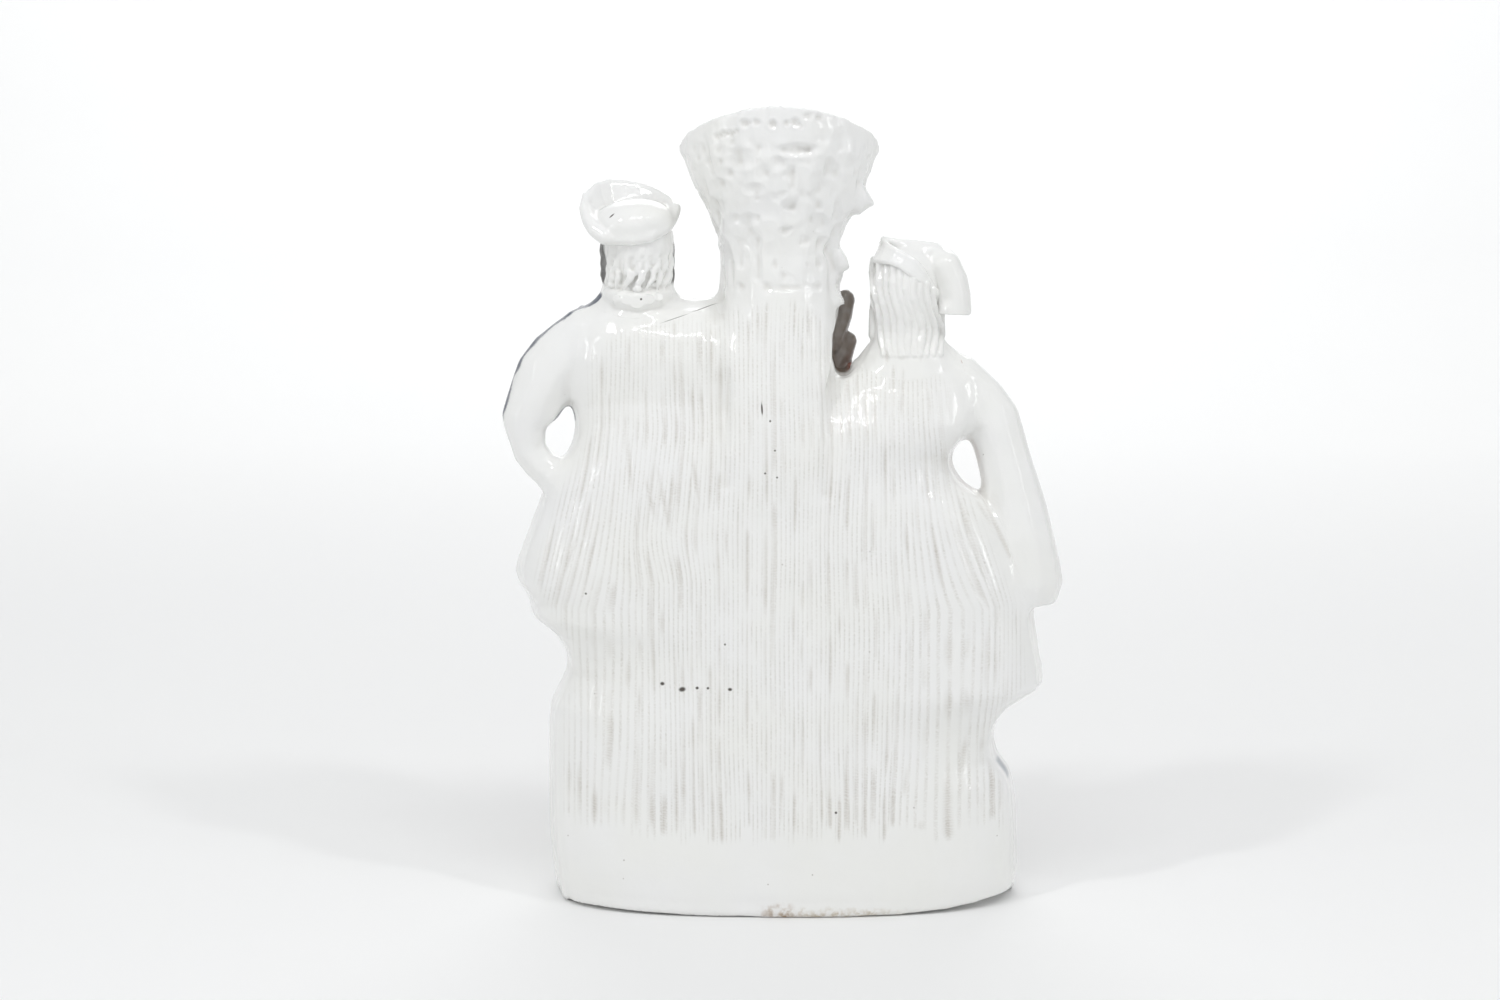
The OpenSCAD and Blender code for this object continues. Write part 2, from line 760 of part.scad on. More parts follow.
// Leg of the man, cut off where it stands in the shell and its mound
module man_leg(x, toe) {
  color(glaze)
    difference() {
      limb(leg_path(x, toe), 1);
      pillow(0);
    }
}

module man_left_leg() {
  man_leg(-man_x - leg_gap / 2, -toe_turn);
}

module man_right_leg() {
  man_leg(-man_x + leg_gap / 2, toe_turn);
}

module woman_head() {
  color(glaze)
    difference() {
      woman_head_form();
      pillow(0);
      trunk_form(0);
    }
}

module woman_cap() {
  color(glaze)
    difference() {
      translate([woman_x - 1, 0, woman_shoulder_z + cap_lift])
        rotate([0, cap_slant, 0])
          hat_form(cap_rows, cap_w, cap_w * 0.92, cap_h);
      woman_head_form();
    }
}

module woman_right_arm() {
  color(glaze)
    difference() {
      limb(sleeve_path);
      pillow(0);
      translate([0, -big / 2, cuff_z - big])
        cube([big, big, big]);
    }
}

module woman_left_arm() {
  color(glaze)
    difference() {
      limb(woman_reach, 1);
      pillow(0);
      trunk_form(0);
      limb(man_reach, 1);
    }
}

base_slab();
body_back();
body_front();
seam_roll();
trunk_back();
trunk_front();
well_floor();
side_knot_upper();
side_knot_lower();
branch_stub_upper();
branch_stub_lower();
man_head();
man_bonnet();
man_left_arm();
man_right_arm();
man_left_leg();
man_right_leg();
woman_head();
woman_cap();
woman_right_arm();
woman_left_arm();
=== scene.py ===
import itertools
import math

import bmesh
import bpy
import numpy as np
import openvdb
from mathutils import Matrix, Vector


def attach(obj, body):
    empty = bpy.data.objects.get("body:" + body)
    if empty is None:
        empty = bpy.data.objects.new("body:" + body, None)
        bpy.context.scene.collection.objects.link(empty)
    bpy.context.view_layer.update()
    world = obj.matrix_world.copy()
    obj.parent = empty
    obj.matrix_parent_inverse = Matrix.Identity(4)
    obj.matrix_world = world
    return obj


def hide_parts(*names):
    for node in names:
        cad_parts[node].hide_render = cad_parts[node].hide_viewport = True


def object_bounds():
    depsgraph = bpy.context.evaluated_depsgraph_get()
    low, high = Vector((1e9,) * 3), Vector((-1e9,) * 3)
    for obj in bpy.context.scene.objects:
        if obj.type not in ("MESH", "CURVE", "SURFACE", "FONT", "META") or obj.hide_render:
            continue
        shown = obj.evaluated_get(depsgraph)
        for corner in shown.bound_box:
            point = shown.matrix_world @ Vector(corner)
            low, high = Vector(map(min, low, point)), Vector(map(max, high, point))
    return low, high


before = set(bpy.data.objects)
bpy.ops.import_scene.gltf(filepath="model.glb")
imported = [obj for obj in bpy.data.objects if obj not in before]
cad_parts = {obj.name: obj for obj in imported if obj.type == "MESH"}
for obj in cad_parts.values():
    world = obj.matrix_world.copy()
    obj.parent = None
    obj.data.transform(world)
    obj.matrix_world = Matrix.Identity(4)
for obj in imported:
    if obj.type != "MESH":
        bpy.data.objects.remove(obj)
cad_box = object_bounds()

# Camera, floor and light
# The photograph's view: from behind the figures, a little above them, with a long lens, on a white sweep in
# a white room. Small soft boxes give the crisp glints of the glaze, a broad fill in front keeps the shading
# even, and a narrow strip at each side picks out the ridges of hair and bark.

SENSOR_WIDTH, PHOTO_WIDTH, FOCAL_PIXELS = 36, 1500, 3300
VIEW_DOWN = 9.03
camera = bpy.data.objects.new("camera", bpy.data.cameras.new("camera"))
camera.data.sensor_width = SENSOR_WIDTH
camera.data.lens = SENSOR_WIDTH * FOCAL_PIXELS / PHOTO_WIDTH
camera.location = (-0.0162, -1.6, 0.45)
camera.rotation_euler = (math.radians(90 - VIEW_DOWN), 0, 0)
bpy.context.scene.collection.objects.link(camera)
bpy.context.scene.camera = camera
bpy.context.scene.view_settings.view_transform = "Standard"


def shade(hex_colour):
    """Linear colour of an sRGB hex value."""
    parts = [int(hex_colour[k:k + 2], 16) / 255 for k in (1, 3, 5)]
    return tuple(p / 12.92 if p <= 0.04045 else ((p + 0.055) / 1.055) ** 2.4 for p in parts) + (1.0,)


def add(tree, kind, inputs=None, **settings):
    """Adds a node with its settings; an input is a value, a socket, or a node whose first output is meant."""
    made = tree.nodes.new(kind)
    for name, value in settings.items():
        setattr(made, name, value)
    for name, value in (inputs or {}).items():
        if isinstance(value, bpy.types.Node):
            value = next(output for output in value.outputs if output.enabled)
        if isinstance(value, bpy.types.NodeSocket):
            tree.links.new(value, made.inputs[name])
        else:
            made.inputs[name].default_value = value
    return made


# White paper sweep, matt, with a faint drift of tone: a flat floor that curves up far behind the object
PAPER_DRIFT = 500
SWEEP = [(-3.0, 0.0), (1.6, 0.0), (1.9, 0.03), (2.2, 0.12), (2.5, 0.3), (2.8, 0.6), (3.0, 1.0), (3.1, 2.6)]
sweep_mesh = bpy.data.meshes.new("paper_sweep")
sweep_mesh.from_pydata(
    [(x, y, z) for y, z in SWEEP for x in (-3.5, 3.5)],
    [],
    [(2 * k, 2 * k + 1, 2 * k + 3, 2 * k + 2) for k in range(len(SWEEP) - 1)],
)
sweep_mesh.shade_smooth()
paper = bpy.data.materials.new("matt_white_paper")
paper.use_nodes = True
paper_tree = paper.node_tree
paper_shader = paper_tree.nodes["Principled BSDF"]
paper_shader.inputs["Roughness"].default_value = 0.85
paper_shader.inputs["Specular IOR Level"].default_value = 0.2
paper_place = add(paper_tree, "ShaderNodeTexCoord").outputs["Object"]
paper_tone = add(paper_tree, "ShaderNodeTexNoise", {
    "Vector": paper_place, "Scale": 1000 / PAPER_DRIFT, "Detail": 2.0,
})
paper_mix = add(paper_tree, "ShaderNodeMix", {
    "Factor": paper_tone, "A": shade("#f1f1f1"), "B": shade("#f3f3f2"),
}, data_type="RGBA")
paper_tree.links.new(paper_mix.outputs["Result"], paper_shader.inputs["Base Color"])
sweep_mesh.materials.append(paper)
sweep = bpy.data.objects.new("paper_sweep", sweep_mesh)
bpy.context.scene.collection.objects.link(sweep)

world = bpy.data.worlds.new("white_room")
world.use_nodes = True
world.node_tree.nodes["Background"].inputs["Color"].default_value = (0.97, 0.985, 1.0, 1.0)
world.node_tree.nodes["Background"].inputs["Strength"].default_value = 0.59
bpy.context.scene.world = world

for name, place, aim, size, power in (
    ("left_soft_box", (-1.0, -0.9, 1.7), (0, 0, 0.25), (0.12, 0.24), 5.3),
    ("right_soft_box", (1.0, -0.85, 1.7), (0, 0, 0.25), (0.11, 0.24), 4.2),
    ("top_soft_box", (0.0, -0.62, 1.3), (0, 0, 0.3), (0.7, 0.05), 2.3),
    ("front_fill", (-0.3, -2.6, 0.7), (0, 0, 0.24), (2.8, 1.4), 3.0),
    ("left_strip", (-1.2, -0.7, 0.6), (0, 0, 0.28), (0.06, 0.7), 0.8),
    ("right_strip", (1.2, -0.7, 0.6), (0, 0, 0.28), (0.06, 0.7), 0.8),
    ("back_soft_box", (0.3, 1.5, 1.3), (0, 0, 0.25), (1.0, 0.8), 1.5),
    ("paper_lamp", (0.0, 2.4, 2.4), (0, 3.2, 1.0), (2.4, 0.6), 33),
):
    lamp = bpy.data.lights.new(name, "AREA")
    lamp.shape = "RECTANGLE"
    lamp.size, lamp.size_y = size
    lamp.energy = power
    stand = bpy.data.objects.new(name, lamp)
    stand.location = place
    way = np.subtract(aim, place)
    stand.rotation_euler = (
        math.atan2(math.hypot(way[0], way[1]), -way[2]), 0, math.atan2(way[1], way[0]) - math.pi / 2
    )
    bpy.context.scene.collection.objects.link(stand)

# The joined clay
# Earthenware pressed in two half moulds, joined at the sides with slip and set on a slab; trunk, heads and
# limbs are pressed on their own and luted on while wet. The joints are wiped smooth, so the clay is built
# here as one block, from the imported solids, and is parted again along its joints once it is modelled.

COARSE = 1.0
LATTICE = 32


def merge(a, b, blend):
    """Joins two fields of distances, with the joint wiped into a round hollow."""
    near = np.maximum(blend - np.abs(a - b), 0) / blend
    return np.minimum(a, b) - near * near * (blend / 4)


def rise(value, start, end):
    """0 before start, 1 after end, and smooth between."""
    t = np.clip((value - start) / (end - start), 0, 1)
    return t * t * (3 - 2 * t)


def grain(points, size, seed):
    """Smooth random values from -1 to 1 at points in mm; size is how far apart the swells are."""
    lattice = np.random.default_rng(seed).uniform(-1, 1, (LATTICE, LATTICE, LATTICE)).astype(np.float32)
    place = np.asarray(points, np.float32) / np.asarray(size, np.float32)
    cell = np.floor(place).astype(np.int32)
    part = place - cell
    part = part * part * (3 - 2 * part)
    total = np.zeros(len(place), np.float32)
    for corner in itertools.product((0, 1), repeat=3):
        weight = np.prod(np.where(corner, part, 1 - part), axis=1)
        i, j, k = ((cell + corner) % LATTICE).T
        total += weight * lattice[i, j, k]
    return total


def triangles_of(*nodes):
    """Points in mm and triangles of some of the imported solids."""
    all_points, all_triangles, start = [], [], 0
    for node in nodes:
        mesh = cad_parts[node].data
        points = np.empty(len(mesh.vertices) * 3, np.float32)
        mesh.vertices.foreach_get("co", points)
        mesh.calc_loop_triangles()
        corners = np.empty(len(mesh.loop_triangles) * 3, np.int32)
        mesh.loop_triangles.foreach_get("vertices", corners)
        all_points.append(points.reshape(-1, 3) * 1000)
        all_triangles.append(corners.reshape(-1, 3) + start)
        start += len(mesh.vertices)
    return np.concatenate(all_points).astype(np.float32), np.concatenate(all_triangles).astype(np.uint32)


def placing(low, steps):
    """Transform of a grid with its first point at low."""
    return openvdb.createLinearTransform(
        [[steps[0], 0, 0, 0], [0, steps[1], 0, 0], [0, 0, steps[2], 0], [*map(float, low), 1]]
    )


def stretched(field, axis, places):
    """Field read at other places along one axis."""
    cell = np.clip(places.astype(int), 0, field.shape[axis] - 2)
    share = (places - cell).astype(np.float32).reshape([-1 if k == axis else 1 for k in range(3)])
    return np.take(field, cell, axis=axis) * (1 - share) + np.take(field, cell + 1, axis=axis) * share


def softened(field, cells):
    """Field with its edges rounded over some cells."""
    for axis in range(3):
        padded = np.pad(field, [(cells, cells) if k == axis else (0, 0) for k in range(3)], mode="edge")
        size = field.shape[axis]
        total = np.zeros_like(field)
        for shift in range(2 * cells + 1):
            total += padded[tuple(slice(shift, shift + size) if k == axis else slice(None) for k in range(3))]
        field = total / (2 * cells + 1)
    return field


class Clay:
    """A block of clay: distances to its surface in mm on a regular grid, negative inside the clay."""

    reach = 10.0

    def __init__(self, low, high, step):
        self.low = np.array(low, float)
        self.step = step
        self.count = tuple(int(round(n)) + 1 for n in (np.array(high) - self.low) / step)
        self.field = np.full(self.count, self.reach, np.float32)

    def along(self, axis):
        return (self.low[axis] + self.step * np.arange(self.count[axis])).astype(np.float32)

    def block(self, low, high):
        """The part of the grid between two corners: its slices, and its coordinates."""
        first = np.clip(np.floor((low - self.low) / self.step), 0, self.count).astype(int)
        last = np.clip(np.ceil((high - self.low) / self.step) + 1, 0, self.count).astype(int)
        part = tuple(slice(a, b) for a, b in zip(first, last))
        shapes = ((-1, 1, 1), (1, -1, 1), (1, 1, -1))
        return part, [self.along(k)[part[k]].reshape(shapes[k]) for k in range(3)]

    def solid(self, *nodes):
        """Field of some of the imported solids, and the part of the grid round them."""
        points, triangles = triangles_of(*nodes)
        part, place = self.block(points.min(0) - self.reach, points.max(0) + self.reach)
        grid = openvdb.FloatGrid.createLevelSetFromPolygons(
            points,
            triangles=triangles,
            transform=placing([p.ravel()[0] for p in place], [self.step] * 3),
            halfWidth=self.reach / self.step,
        )
        field = np.empty([s.stop - s.start for s in part], np.float32)
        grid.copyToArray(field)
        return part, field

    def press(self, part, shape, blend, cut=False):
        """Joins a shape to the clay, or cuts it out."""
        old = self.field[part]
        self.field[part] = -merge(-old, shape, blend) if cut else merge(old, shape, blend)

    def roll(self, path, blend=1.5, cut=False):
        """Lays a roll of clay along points of (x, y, z, radius), or cuts a channel there."""
        path = np.array(path, float)
        room = path[:, 3].max() + blend + 2 * self.step
        part, place = self.block(path[:, :3].min(0) - room, path[:, :3].max(0) + room)
        shape = np.full([s.stop - s.start for s in part], 99, np.float32)
        for a, b in zip(path[:-1], path[1:]):
            way = b[:3] - a[:3]
            share = sum((place[k] - a[k]) * way[k] for k in range(3)) / max(way @ way, 1e-6)
            share = np.clip(share, 0, 1)
            gap = np.sqrt(sum((place[k] - a[k] - share * way[k]) ** 2 for k in range(3)))
            shape = np.minimum(shape, gap - (a[3] + (b[3] - a[3]) * share))
        self.press(part, shape.astype(np.float32), blend, cut)

    def ball(self, centre, radii, blend=1.5, cut=False, tilt=0.0):
        """Presses on an egg-shaped lump, turned by some degrees about y, or cuts a dish of that shape."""
        centre, radii = np.array(centre, float), np.array(radii, float)
        room = (radii if tilt == 0 else radii.max()) + blend + 2 * self.step
        part, place = self.block(centre - room, centre + room)
        x, y, z = [place[k] - centre[k] for k in range(3)]
        c, s = math.cos(math.radians(tilt)), math.sin(math.radians(tilt))
        scaled = [(c * x - s * z) / radii[0], y / radii[1], (s * x + c * z) / radii[2]]
        size = np.sqrt(sum(v * v for v in scaled))
        steep = np.sqrt(sum((v / r) ** 2 for v, r in zip(scaled, radii)))
        self.press(part, (size * (size - 1) / np.maximum(steep, 1e-6)).astype(np.float32), blend, cut)

    def surface(self, x, z, side):
        """Depth y of the outermost clay at a place, on the back (side = -1) or the front (side = 1)."""
        i = int(round((x - self.low[0]) / self.step))
        k = int(round((z - self.low[2]) / self.step))
        column = self.field[i, :, k]
        inside = np.flatnonzero(column < 0)
        if len(inside) == 0:
            return 0.0
        edge = inside[-1] if side > 0 else inside[0]
        share = column[edge] / (column[edge] - column[edge + side])
        return self.low[1] + self.step * (edge + side * share)

    def laid(self, path, side=1, sink=0.4):
        """Points of (x, z, radius) laid on the surface, with the rolls sunk in by a share of their radius."""
        path = np.array(path, float)
        fine = np.concatenate(
            [a + (b - a) * np.linspace(0, 1, 5)[:-1, None] for a, b in zip(path[:-1], path[1:])] + [path[-1:]]
        )
        return [(x, self.surface(x, z, side) - side * sink * r, z, r) for x, z, r in fine]

    def finer(self, low, high, step):
        """A block on a finer grid, cut out of this one."""
        fine = Clay(low, high, step)
        field = self.field
        for axis in range(3):
            field = stretched(field, axis, (fine.along(axis) - self.low[axis]) / self.step)
        fine.field = field
        return fine

    def skin(self, steps):
        """Points in mm and four-sided faces of the surface, with their own spacing along x, y and z."""
        field = self.field
        for axis, step in enumerate(steps):
            field = stretched(field, axis, np.arange(0, self.count[axis] - 1, step / self.step))
        field = field.copy()
        for axis in range(3):
            for end in (0, -1):
                np.moveaxis(field, axis, 0)[end] = self.reach
        grid = openvdb.FloatGrid(self.reach)
        grid.copyFromArray(field)
        grid.transform = placing(self.low, steps)
        return grid.convertToQuads(0.0)


body = Clay((-144, -64, -4), (144, 64, 396), COARSE)

# The two shells are filled from back to front, so that only their outer faces are left
SKIN_DEPTH, WELL_INSIDE = 3.5, -4
part, shells = body.solid("body_back", "body_front")
filled = np.logical_or.accumulate(shells < 0, axis=1)
filled &= np.logical_or.accumulate(shells[:, ::-1] < 0, axis=1)[:, ::-1]
depth_in = np.cumsum(filled, axis=1)
depth_in = np.minimum(depth_in, depth_in[:, -1:] - depth_in + 1) * body.step
hollow_clay = Clay(body.low, body.low + body.step * (np.array(body.count) - 1), body.step)
hollow_clay.field[part] = np.where(filled, -shells, body.reach)
shells[filled & (depth_in > SKIN_DEPTH)] = WELL_INSIDE
body.field[part] = shells
part, slab = body.solid("base_slab")
body.field[part] = np.minimum(body.field[part], slab)
body.field = softened(body.field, 2 if COARSE == 1 else 1)

# Joined with slip: how far each joint is wiped round, in mm
for blend, nodes in (
    (10, ["trunk_back", "trunk_front", "well_floor"]),
    (8, ["man_left_arm"]),
    (8, ["woman_right_arm"]),
    (5, ["man_right_arm"]),
    (5, ["woman_left_arm"]),
    (3, ["man_left_leg"]),
    (3, ["man_right_leg"]),
    (9, ["man_head"]),
    (10, ["woman_head"]),
    (5, ["side_knot_upper"]),
    (4, ["side_knot_lower"]),
    (2, ["branch_stub_upper"]),
    (2, ["branch_stub_lower"]),
):
    part, field = body.solid(*nodes)
    on_trunk = nodes[0].startswith(("trunk", "side", "branch"))
    grown = 0.9 if nodes[0].startswith("branch") else 0
    body.press(part, field - grown if on_trunk else softened(field, 1), blend)

# Below the shoulders the back of the trunk stays a little proud, and runs out into the plain back
part, (px, py, pz) = body.block(np.array([-44, -64, 196]), np.array([40, 6, 312]))
heights = [196, 215, 240, 255, 270, 285, 300, 312]
left = np.interp(pz, heights, [-29, -30, -31, -32, -32, -30.5, -26, -22])
right = np.interp(pz, heights, [20, 22, 23, 23, 23, 23.5, 22, 18])
ridge = np.interp(pz, heights, [-42, -43.3, -41.3, -38.6, -35.2, -31.2, -26, -19])
depth = np.interp(pz, heights, [5, 7, 10, 12, 15, 20, 24, 24])
aside = (px - (left + right) / 2) / ((right - left) / 2)
behind = np.minimum((py - ridge - depth) / depth, 0)
column = (np.sqrt(aside ** 2 + behind ** 2) - 1) * depth
bore = (np.sqrt(((px + 2) / 24) ** 2 + (py / 22) ** 2) - 1) * 22
body.press(part, np.maximum(column, -bore).astype(np.float32), 5)
for valley in (
    [(-33, 296, 3), (-34, 280, 6), (-33, 260, 6), (-31, 242, 4.5), (-29.5, 224, 2.5), (-28.5, 210, 0.8)],
    [(25, 265, 2.5), (25.5, 253, 4.5), (24.5, 239, 4.5), (22, 221, 2.5), (20.5, 206, 0.8)],
):
    body.roll(body.laid(valley, -1, -0.76), 5, cut=True)
# The trunk narrows again on the right, behind the stubs
for y in (-14, -8, -2, 4):
    body.roll([(31, y, 287, 3.5), (29.2, y, 277, 5), (28.6, y, 268, 5), (29, y, 262, 4)], 3, cut=True)
# Ragged edges of the knots, and a third, smaller one
for y in (-8, -3, 2):
    body.roll([(33, y, 349, 5), (37, y, 344.5, 4.5), (42.4, y + 0.5, 341.6, 1.4)], 2)
    body.roll([(24.5, y, 316, 4), (27, y, 312.8, 3.6), (30.8, y + 0.5, 311.2, 1.2)], 2)
    body.roll([(23.5, y, 296, 4), (25.4, y, 294.6, 3.4), (28.9, y + 0.5, 293.6, 1.2)], 2)
# The slab warped in the kiln, so its edge is lifted at the left, and more at the right corner
LEFT_FOOT = [(-108, -36, -0.6, 2.4), (-92, -49, -0.6, 2.6), (-70, -55, -0.8, 2.3), (-45, -57, -1.4, 1.8)]
RIGHT_FOOT = [(62, -56, -1.6, 1.8), (86, -52, -0.4, 2.6), (104, -42, 0.2, 3.8), (115, -22, 0.6, 4.2)]
for inset in (0, 4, 8, 12):
    body.roll([(x + 0.4 * inset, y + inset, z, r) for x, y, z, r in LEFT_FOOT], 1, cut=True)
    body.roll([(x - 0.5 * inset, y + inset, z, r) for x, y, z, r in RIGHT_FOOT], 2, cut=True)
# The seam stands as a blunt edge at the corners of the coat tail, the skirt and the sleeve
for edge in (
    [
        (-127.4, 0, 167, 2), (-129.2, 0, 160.6, 2), (-123.6, 0, 153, 2), (-122.4, 0, 145.6, 2),
        (-119.4, 0, 137.8, 2), (-112.8, 0, 133.2, 2), (-106, 0, 124.4, 2),
    ],
    [(125.4, 0, 114, 2), (125.6, 0, 108.5, 2), (125.2, 0, 105, 2), (122.4, 0, 102.6, 2), (113.6, 0, 98.2, 2)],
    [(134.3, -2, 160, 2), (134.3, -2, 152.6, 2.2), (131.8, -2, 149.6, 2.2), (125.6, -2, 146.8, 2)],
):
    body.roll(edge, 3)

# Dress on the front
# Sprigged relief of the front mould, softened by the slip and glaze: coat, belt, sash, pouch and kilt for the
# man, shawl, bodice and apron for the woman, and two hands that meet over the trunk.

MAN, WOMAN, TRUNK = -71.0, 60.0, -2.0


def mirrored(path, middle):
    """The same path on the other side of a figure."""
    return [(2 * middle - x, *rest) for x, *rest in path]


def trim(path, blend=1.5, sink=0.4):
    body.roll(body.laid(path, 1, sink), blend)


lapel = [(MAN - 6, 291, 1.8), (MAN - 13, 272, 2.6), (MAN - 13, 252, 2.4), (MAN - 8, 232, 1.8)]
trim(lapel)
trim(mirrored(lapel, MAN))
for offset in (-4, 0, 4):
    trim([
        (MAN - 23 + offset, 289, 2.2),
        (MAN - 11 + offset, 272, 2.8),
        (MAN + 3 + offset, 253, 2.8),
        (MAN + 17 + offset, 235, 2.6),
        (MAN + 25 + offset, 225, 2.2),
    ], 1.2, 0.2)
belt = [(-27, 225, 2.4), (-16, 223, 2.8), (0, 222, 2.8), (18, 223, 2.8), (33, 226, 2.4)]
coat_hem = [(-42, 204, 1.8), (-20, 199, 2.2), (0, 202, 1.6), (20, 199, 2.2), (40, 204, 1.8)]
for edge in (belt, coat_hem):
    trim([(MAN + x, z, r) for x, z, r in edge])
pouch_y = body.surface(MAN, 176, 1)
body.ball((MAN, pouch_y + 0.5, 175), (10, 5, 13), 2)
body.ball((MAN, pouch_y + 2.5, 184), (10.5, 4.5, 6), 1)
for offset in (-5, 0, 5):
    body.roll([
        (MAN + offset * 0.8, pouch_y + 4.5, 176, 1.6),
        (MAN + offset, pouch_y + 5.5, 168, 1.6),
        (MAN + offset * 1.15, pouch_y + 4.5, 161, 2.1),
    ], 0.8)
buckle_y = body.surface(MAN, 222, 1)
body.ball((MAN, buckle_y - 0.2, 222), (5.5, 1.8, 4.5), 0.8)
body.ball((MAN, buckle_y + 1.6, 222), (3, 1.4, 2.4), 0.8, cut=True)

neckline = [(WOMAN - 13, 266, 1.4), (WOMAN - 7, 255, 1.6), (WOMAN, 247, 1.4)]
trim(neckline)
trim(mirrored(neckline, WOMAN))
shawl = [(WOMAN - 22, 263, 2.2), (WOMAN - 19, 248, 3.0), (WOMAN - 10, 230, 3.2), (WOMAN - 2, 218, 2.6)]
tail = [(WOMAN - 2, 218, 2.8), (WOMAN - 6, 204, 3.4), (WOMAN - 9, 188, 3.0), (WOMAN - 10, 184, 2.0)]
for fold in (shawl, tail):
    trim(fold)
    trim(mirrored(fold, WOMAN))
trim([(WOMAN - 28, 263, 1.8), (WOMAN - 25, 246, 2.4), (WOMAN - 15, 226, 2.4), (WOMAN - 6, 214, 1.8)])
trim([(WOMAN + 28, 261, 1.8), (WOMAN + 25, 246, 2.4), (WOMAN + 15, 226, 2.4), (WOMAN + 6, 214, 1.8)])
body.ball((WOMAN, body.surface(WOMAN, 217, 1) + 0.5, 217), (5.5, 4, 4.5), 1.5)
trim([(WOMAN - 29, 212, 1.6), (WOMAN, 207, 1.8), (WOMAN + 19, 209, 1.6)])
apron = [(WOMAN - 15, 206, 1.2), (WOMAN - 21, 150, 1.5), (WOMAN - 27, 76, 1.8)]
trim(apron)
trim(mirrored(apron, WOMAN))
apron_hem = [(-27, 76, 1.8), (-13, 68, 2.2), (0, 71, 2.0), (13, 68, 2.2), (27, 76, 1.8)]
trim([(WOMAN + x, z, r) for x, z, r in apron_hem])

# Fingers where the two hands meet
for step in range(4):
    x = -6 + step * 3.4
    body.roll([(x, 47, 213 - step, 0.7), (x + 2, 48.5, 203 - step, 0.6)], 0.8, cut=True)

# Broken knots on the front of the trunk
for x, z, size in ((-12, 150, 7), (8, 118, 6), (-6, 80, 7.5), (10, 250, 6)):
    y = body.surface(x, z, 1)
    body.ball((x, y - 1, z), (size, 4, size * 0.9), 2.5)
    body.ball((x, y + 3.2, z), (size * 0.5, 2.4, size * 0.45), 1.2, cut=True)

# Combing, bark, folds and dents
# Worked with a wooden comb and the finger ends in the soft skin: the plain back is combed from shoulder to
# plinth, the trunk is dimpled as bark, and the front keeps the pleats and folds of the mould.

COMB_GAP = 4.4
COMB_DEPTH = 0.42
# Upper end of the combing along x, and its two sides along z
COMB_TOP = [
    (-104, 258), (-92, 276), (-78, 286), (-60, 289), (-45, 291), (-34, 289), (-28, 293), (-10, 296),
    (10, 295), (22, 286), (30, 267), (50, 272), (72, 267), (90, 250),
]
COMB_LEFT = [
    (30, -111), (100, -110), (115, -101), (130, -106), (150, -118), (160, -124), (203, -111), (228, -98),
    (250, -97), (280, -96),
]
COMB_RIGHT = [
    (30, 112), (60, 110), (75, 101), (100, 112), (110, 121), (140, 118), (150, 115), (200, 93), (228, 80),
    (262, 86),
]
# Deeper single strokes, as x and z of both ends
STROKES = [
    (-61.5, 222, -53.5, 181), (-67, 216, -61, 190), (-44, 226, -40, 196), (-75, 236, -73, 200),
    (88, 209, 104, 182), (93, 207, 116, 160), (84, 204, 92, 172), (-88, 196, -98, 150), (-99, 186, -112, 150),
]
comb_dice = np.random.default_rng(7).uniform(-1, 1, (4, 160))


def span(value, start, end, soft):
    """1 between start and end, fading over the soft edge at both."""
    return rise(value, start - soft, start + soft) * (1 - rise(value, end - soft, end + soft))


def between(table, place):
    return np.interp(place, [a for a, _ in table], [b for _, b in table])


def comb_marks(p):
    """At points on the back: how deep the comb has cut, the place across its teeth in mm, and its reach."""
    x, z = p[:, 0], p[:, 2]
    fall = np.clip((236 - z) / 76, 0, 1.15)
    splay = np.where(x < 0, -15 * rise(-x, 52, 112), 21 * rise(x, 48, 106))
    lean = 3.0 * rise(-x, 20, 60) * (1 - rise(-x, 60, 84)) * rise(z, 160, 190) * (1 - rise(z, 225, 250))
    across = x - splay * fall + lean * (225 - z) / 30 + 1.8 * grain(p, (26, 80, 46), 21)
    tooth = np.round(across / COMB_GAP).astype(int)
    dice = comb_dice[:, np.clip(tooth + 80, 0, 159)]
    along = np.stack([tooth * 1.7, np.zeros_like(z), z], axis=1)
    off = across - tooth * COMB_GAP - 0.75 * dice[0] - 0.5 * grain(along, (1, 1, 30), 22)
    width = 0.95 + 0.25 * dice[1]
    cut = np.exp(-(off / width) ** 2)
    cut *= np.clip(0.5 + 0.25 * dice[2] + grain(along, (1, 1, 13), 23), 0.03, 1.3)
    top = between(COMB_TOP, x) - 4 * dice[3]
    area = (1 - rise(z, top - 7, top)) * rise(z, 38 + 5 * dice[3], 44 + 5 * dice[3])
    area *= rise(x, between(COMB_LEFT, z), between(COMB_LEFT, z) + 6)
    area *= 1 - rise(x, between(COMB_RIGHT, z) - 6, between(COMB_RIGHT, z))
    cut *= area
    for x1, z1, x2, z2 in STROKES:
        long = (x2 - x1) ** 2 + (z2 - z1) ** 2
        share = np.clip(((x - x1) * (x2 - x1) + (z - z1) * (z2 - z1)) / long, 0, 1)
        gap = np.hypot(x - x1 - share * (x2 - x1), z - z1 - share * (z2 - z1))
        cut = np.maximum(cut, 1.25 * np.exp(-(gap / 1.3) ** 2) * np.sin(np.pi * np.clip(share, 0.04, 0.96)))
    return cut, across, area


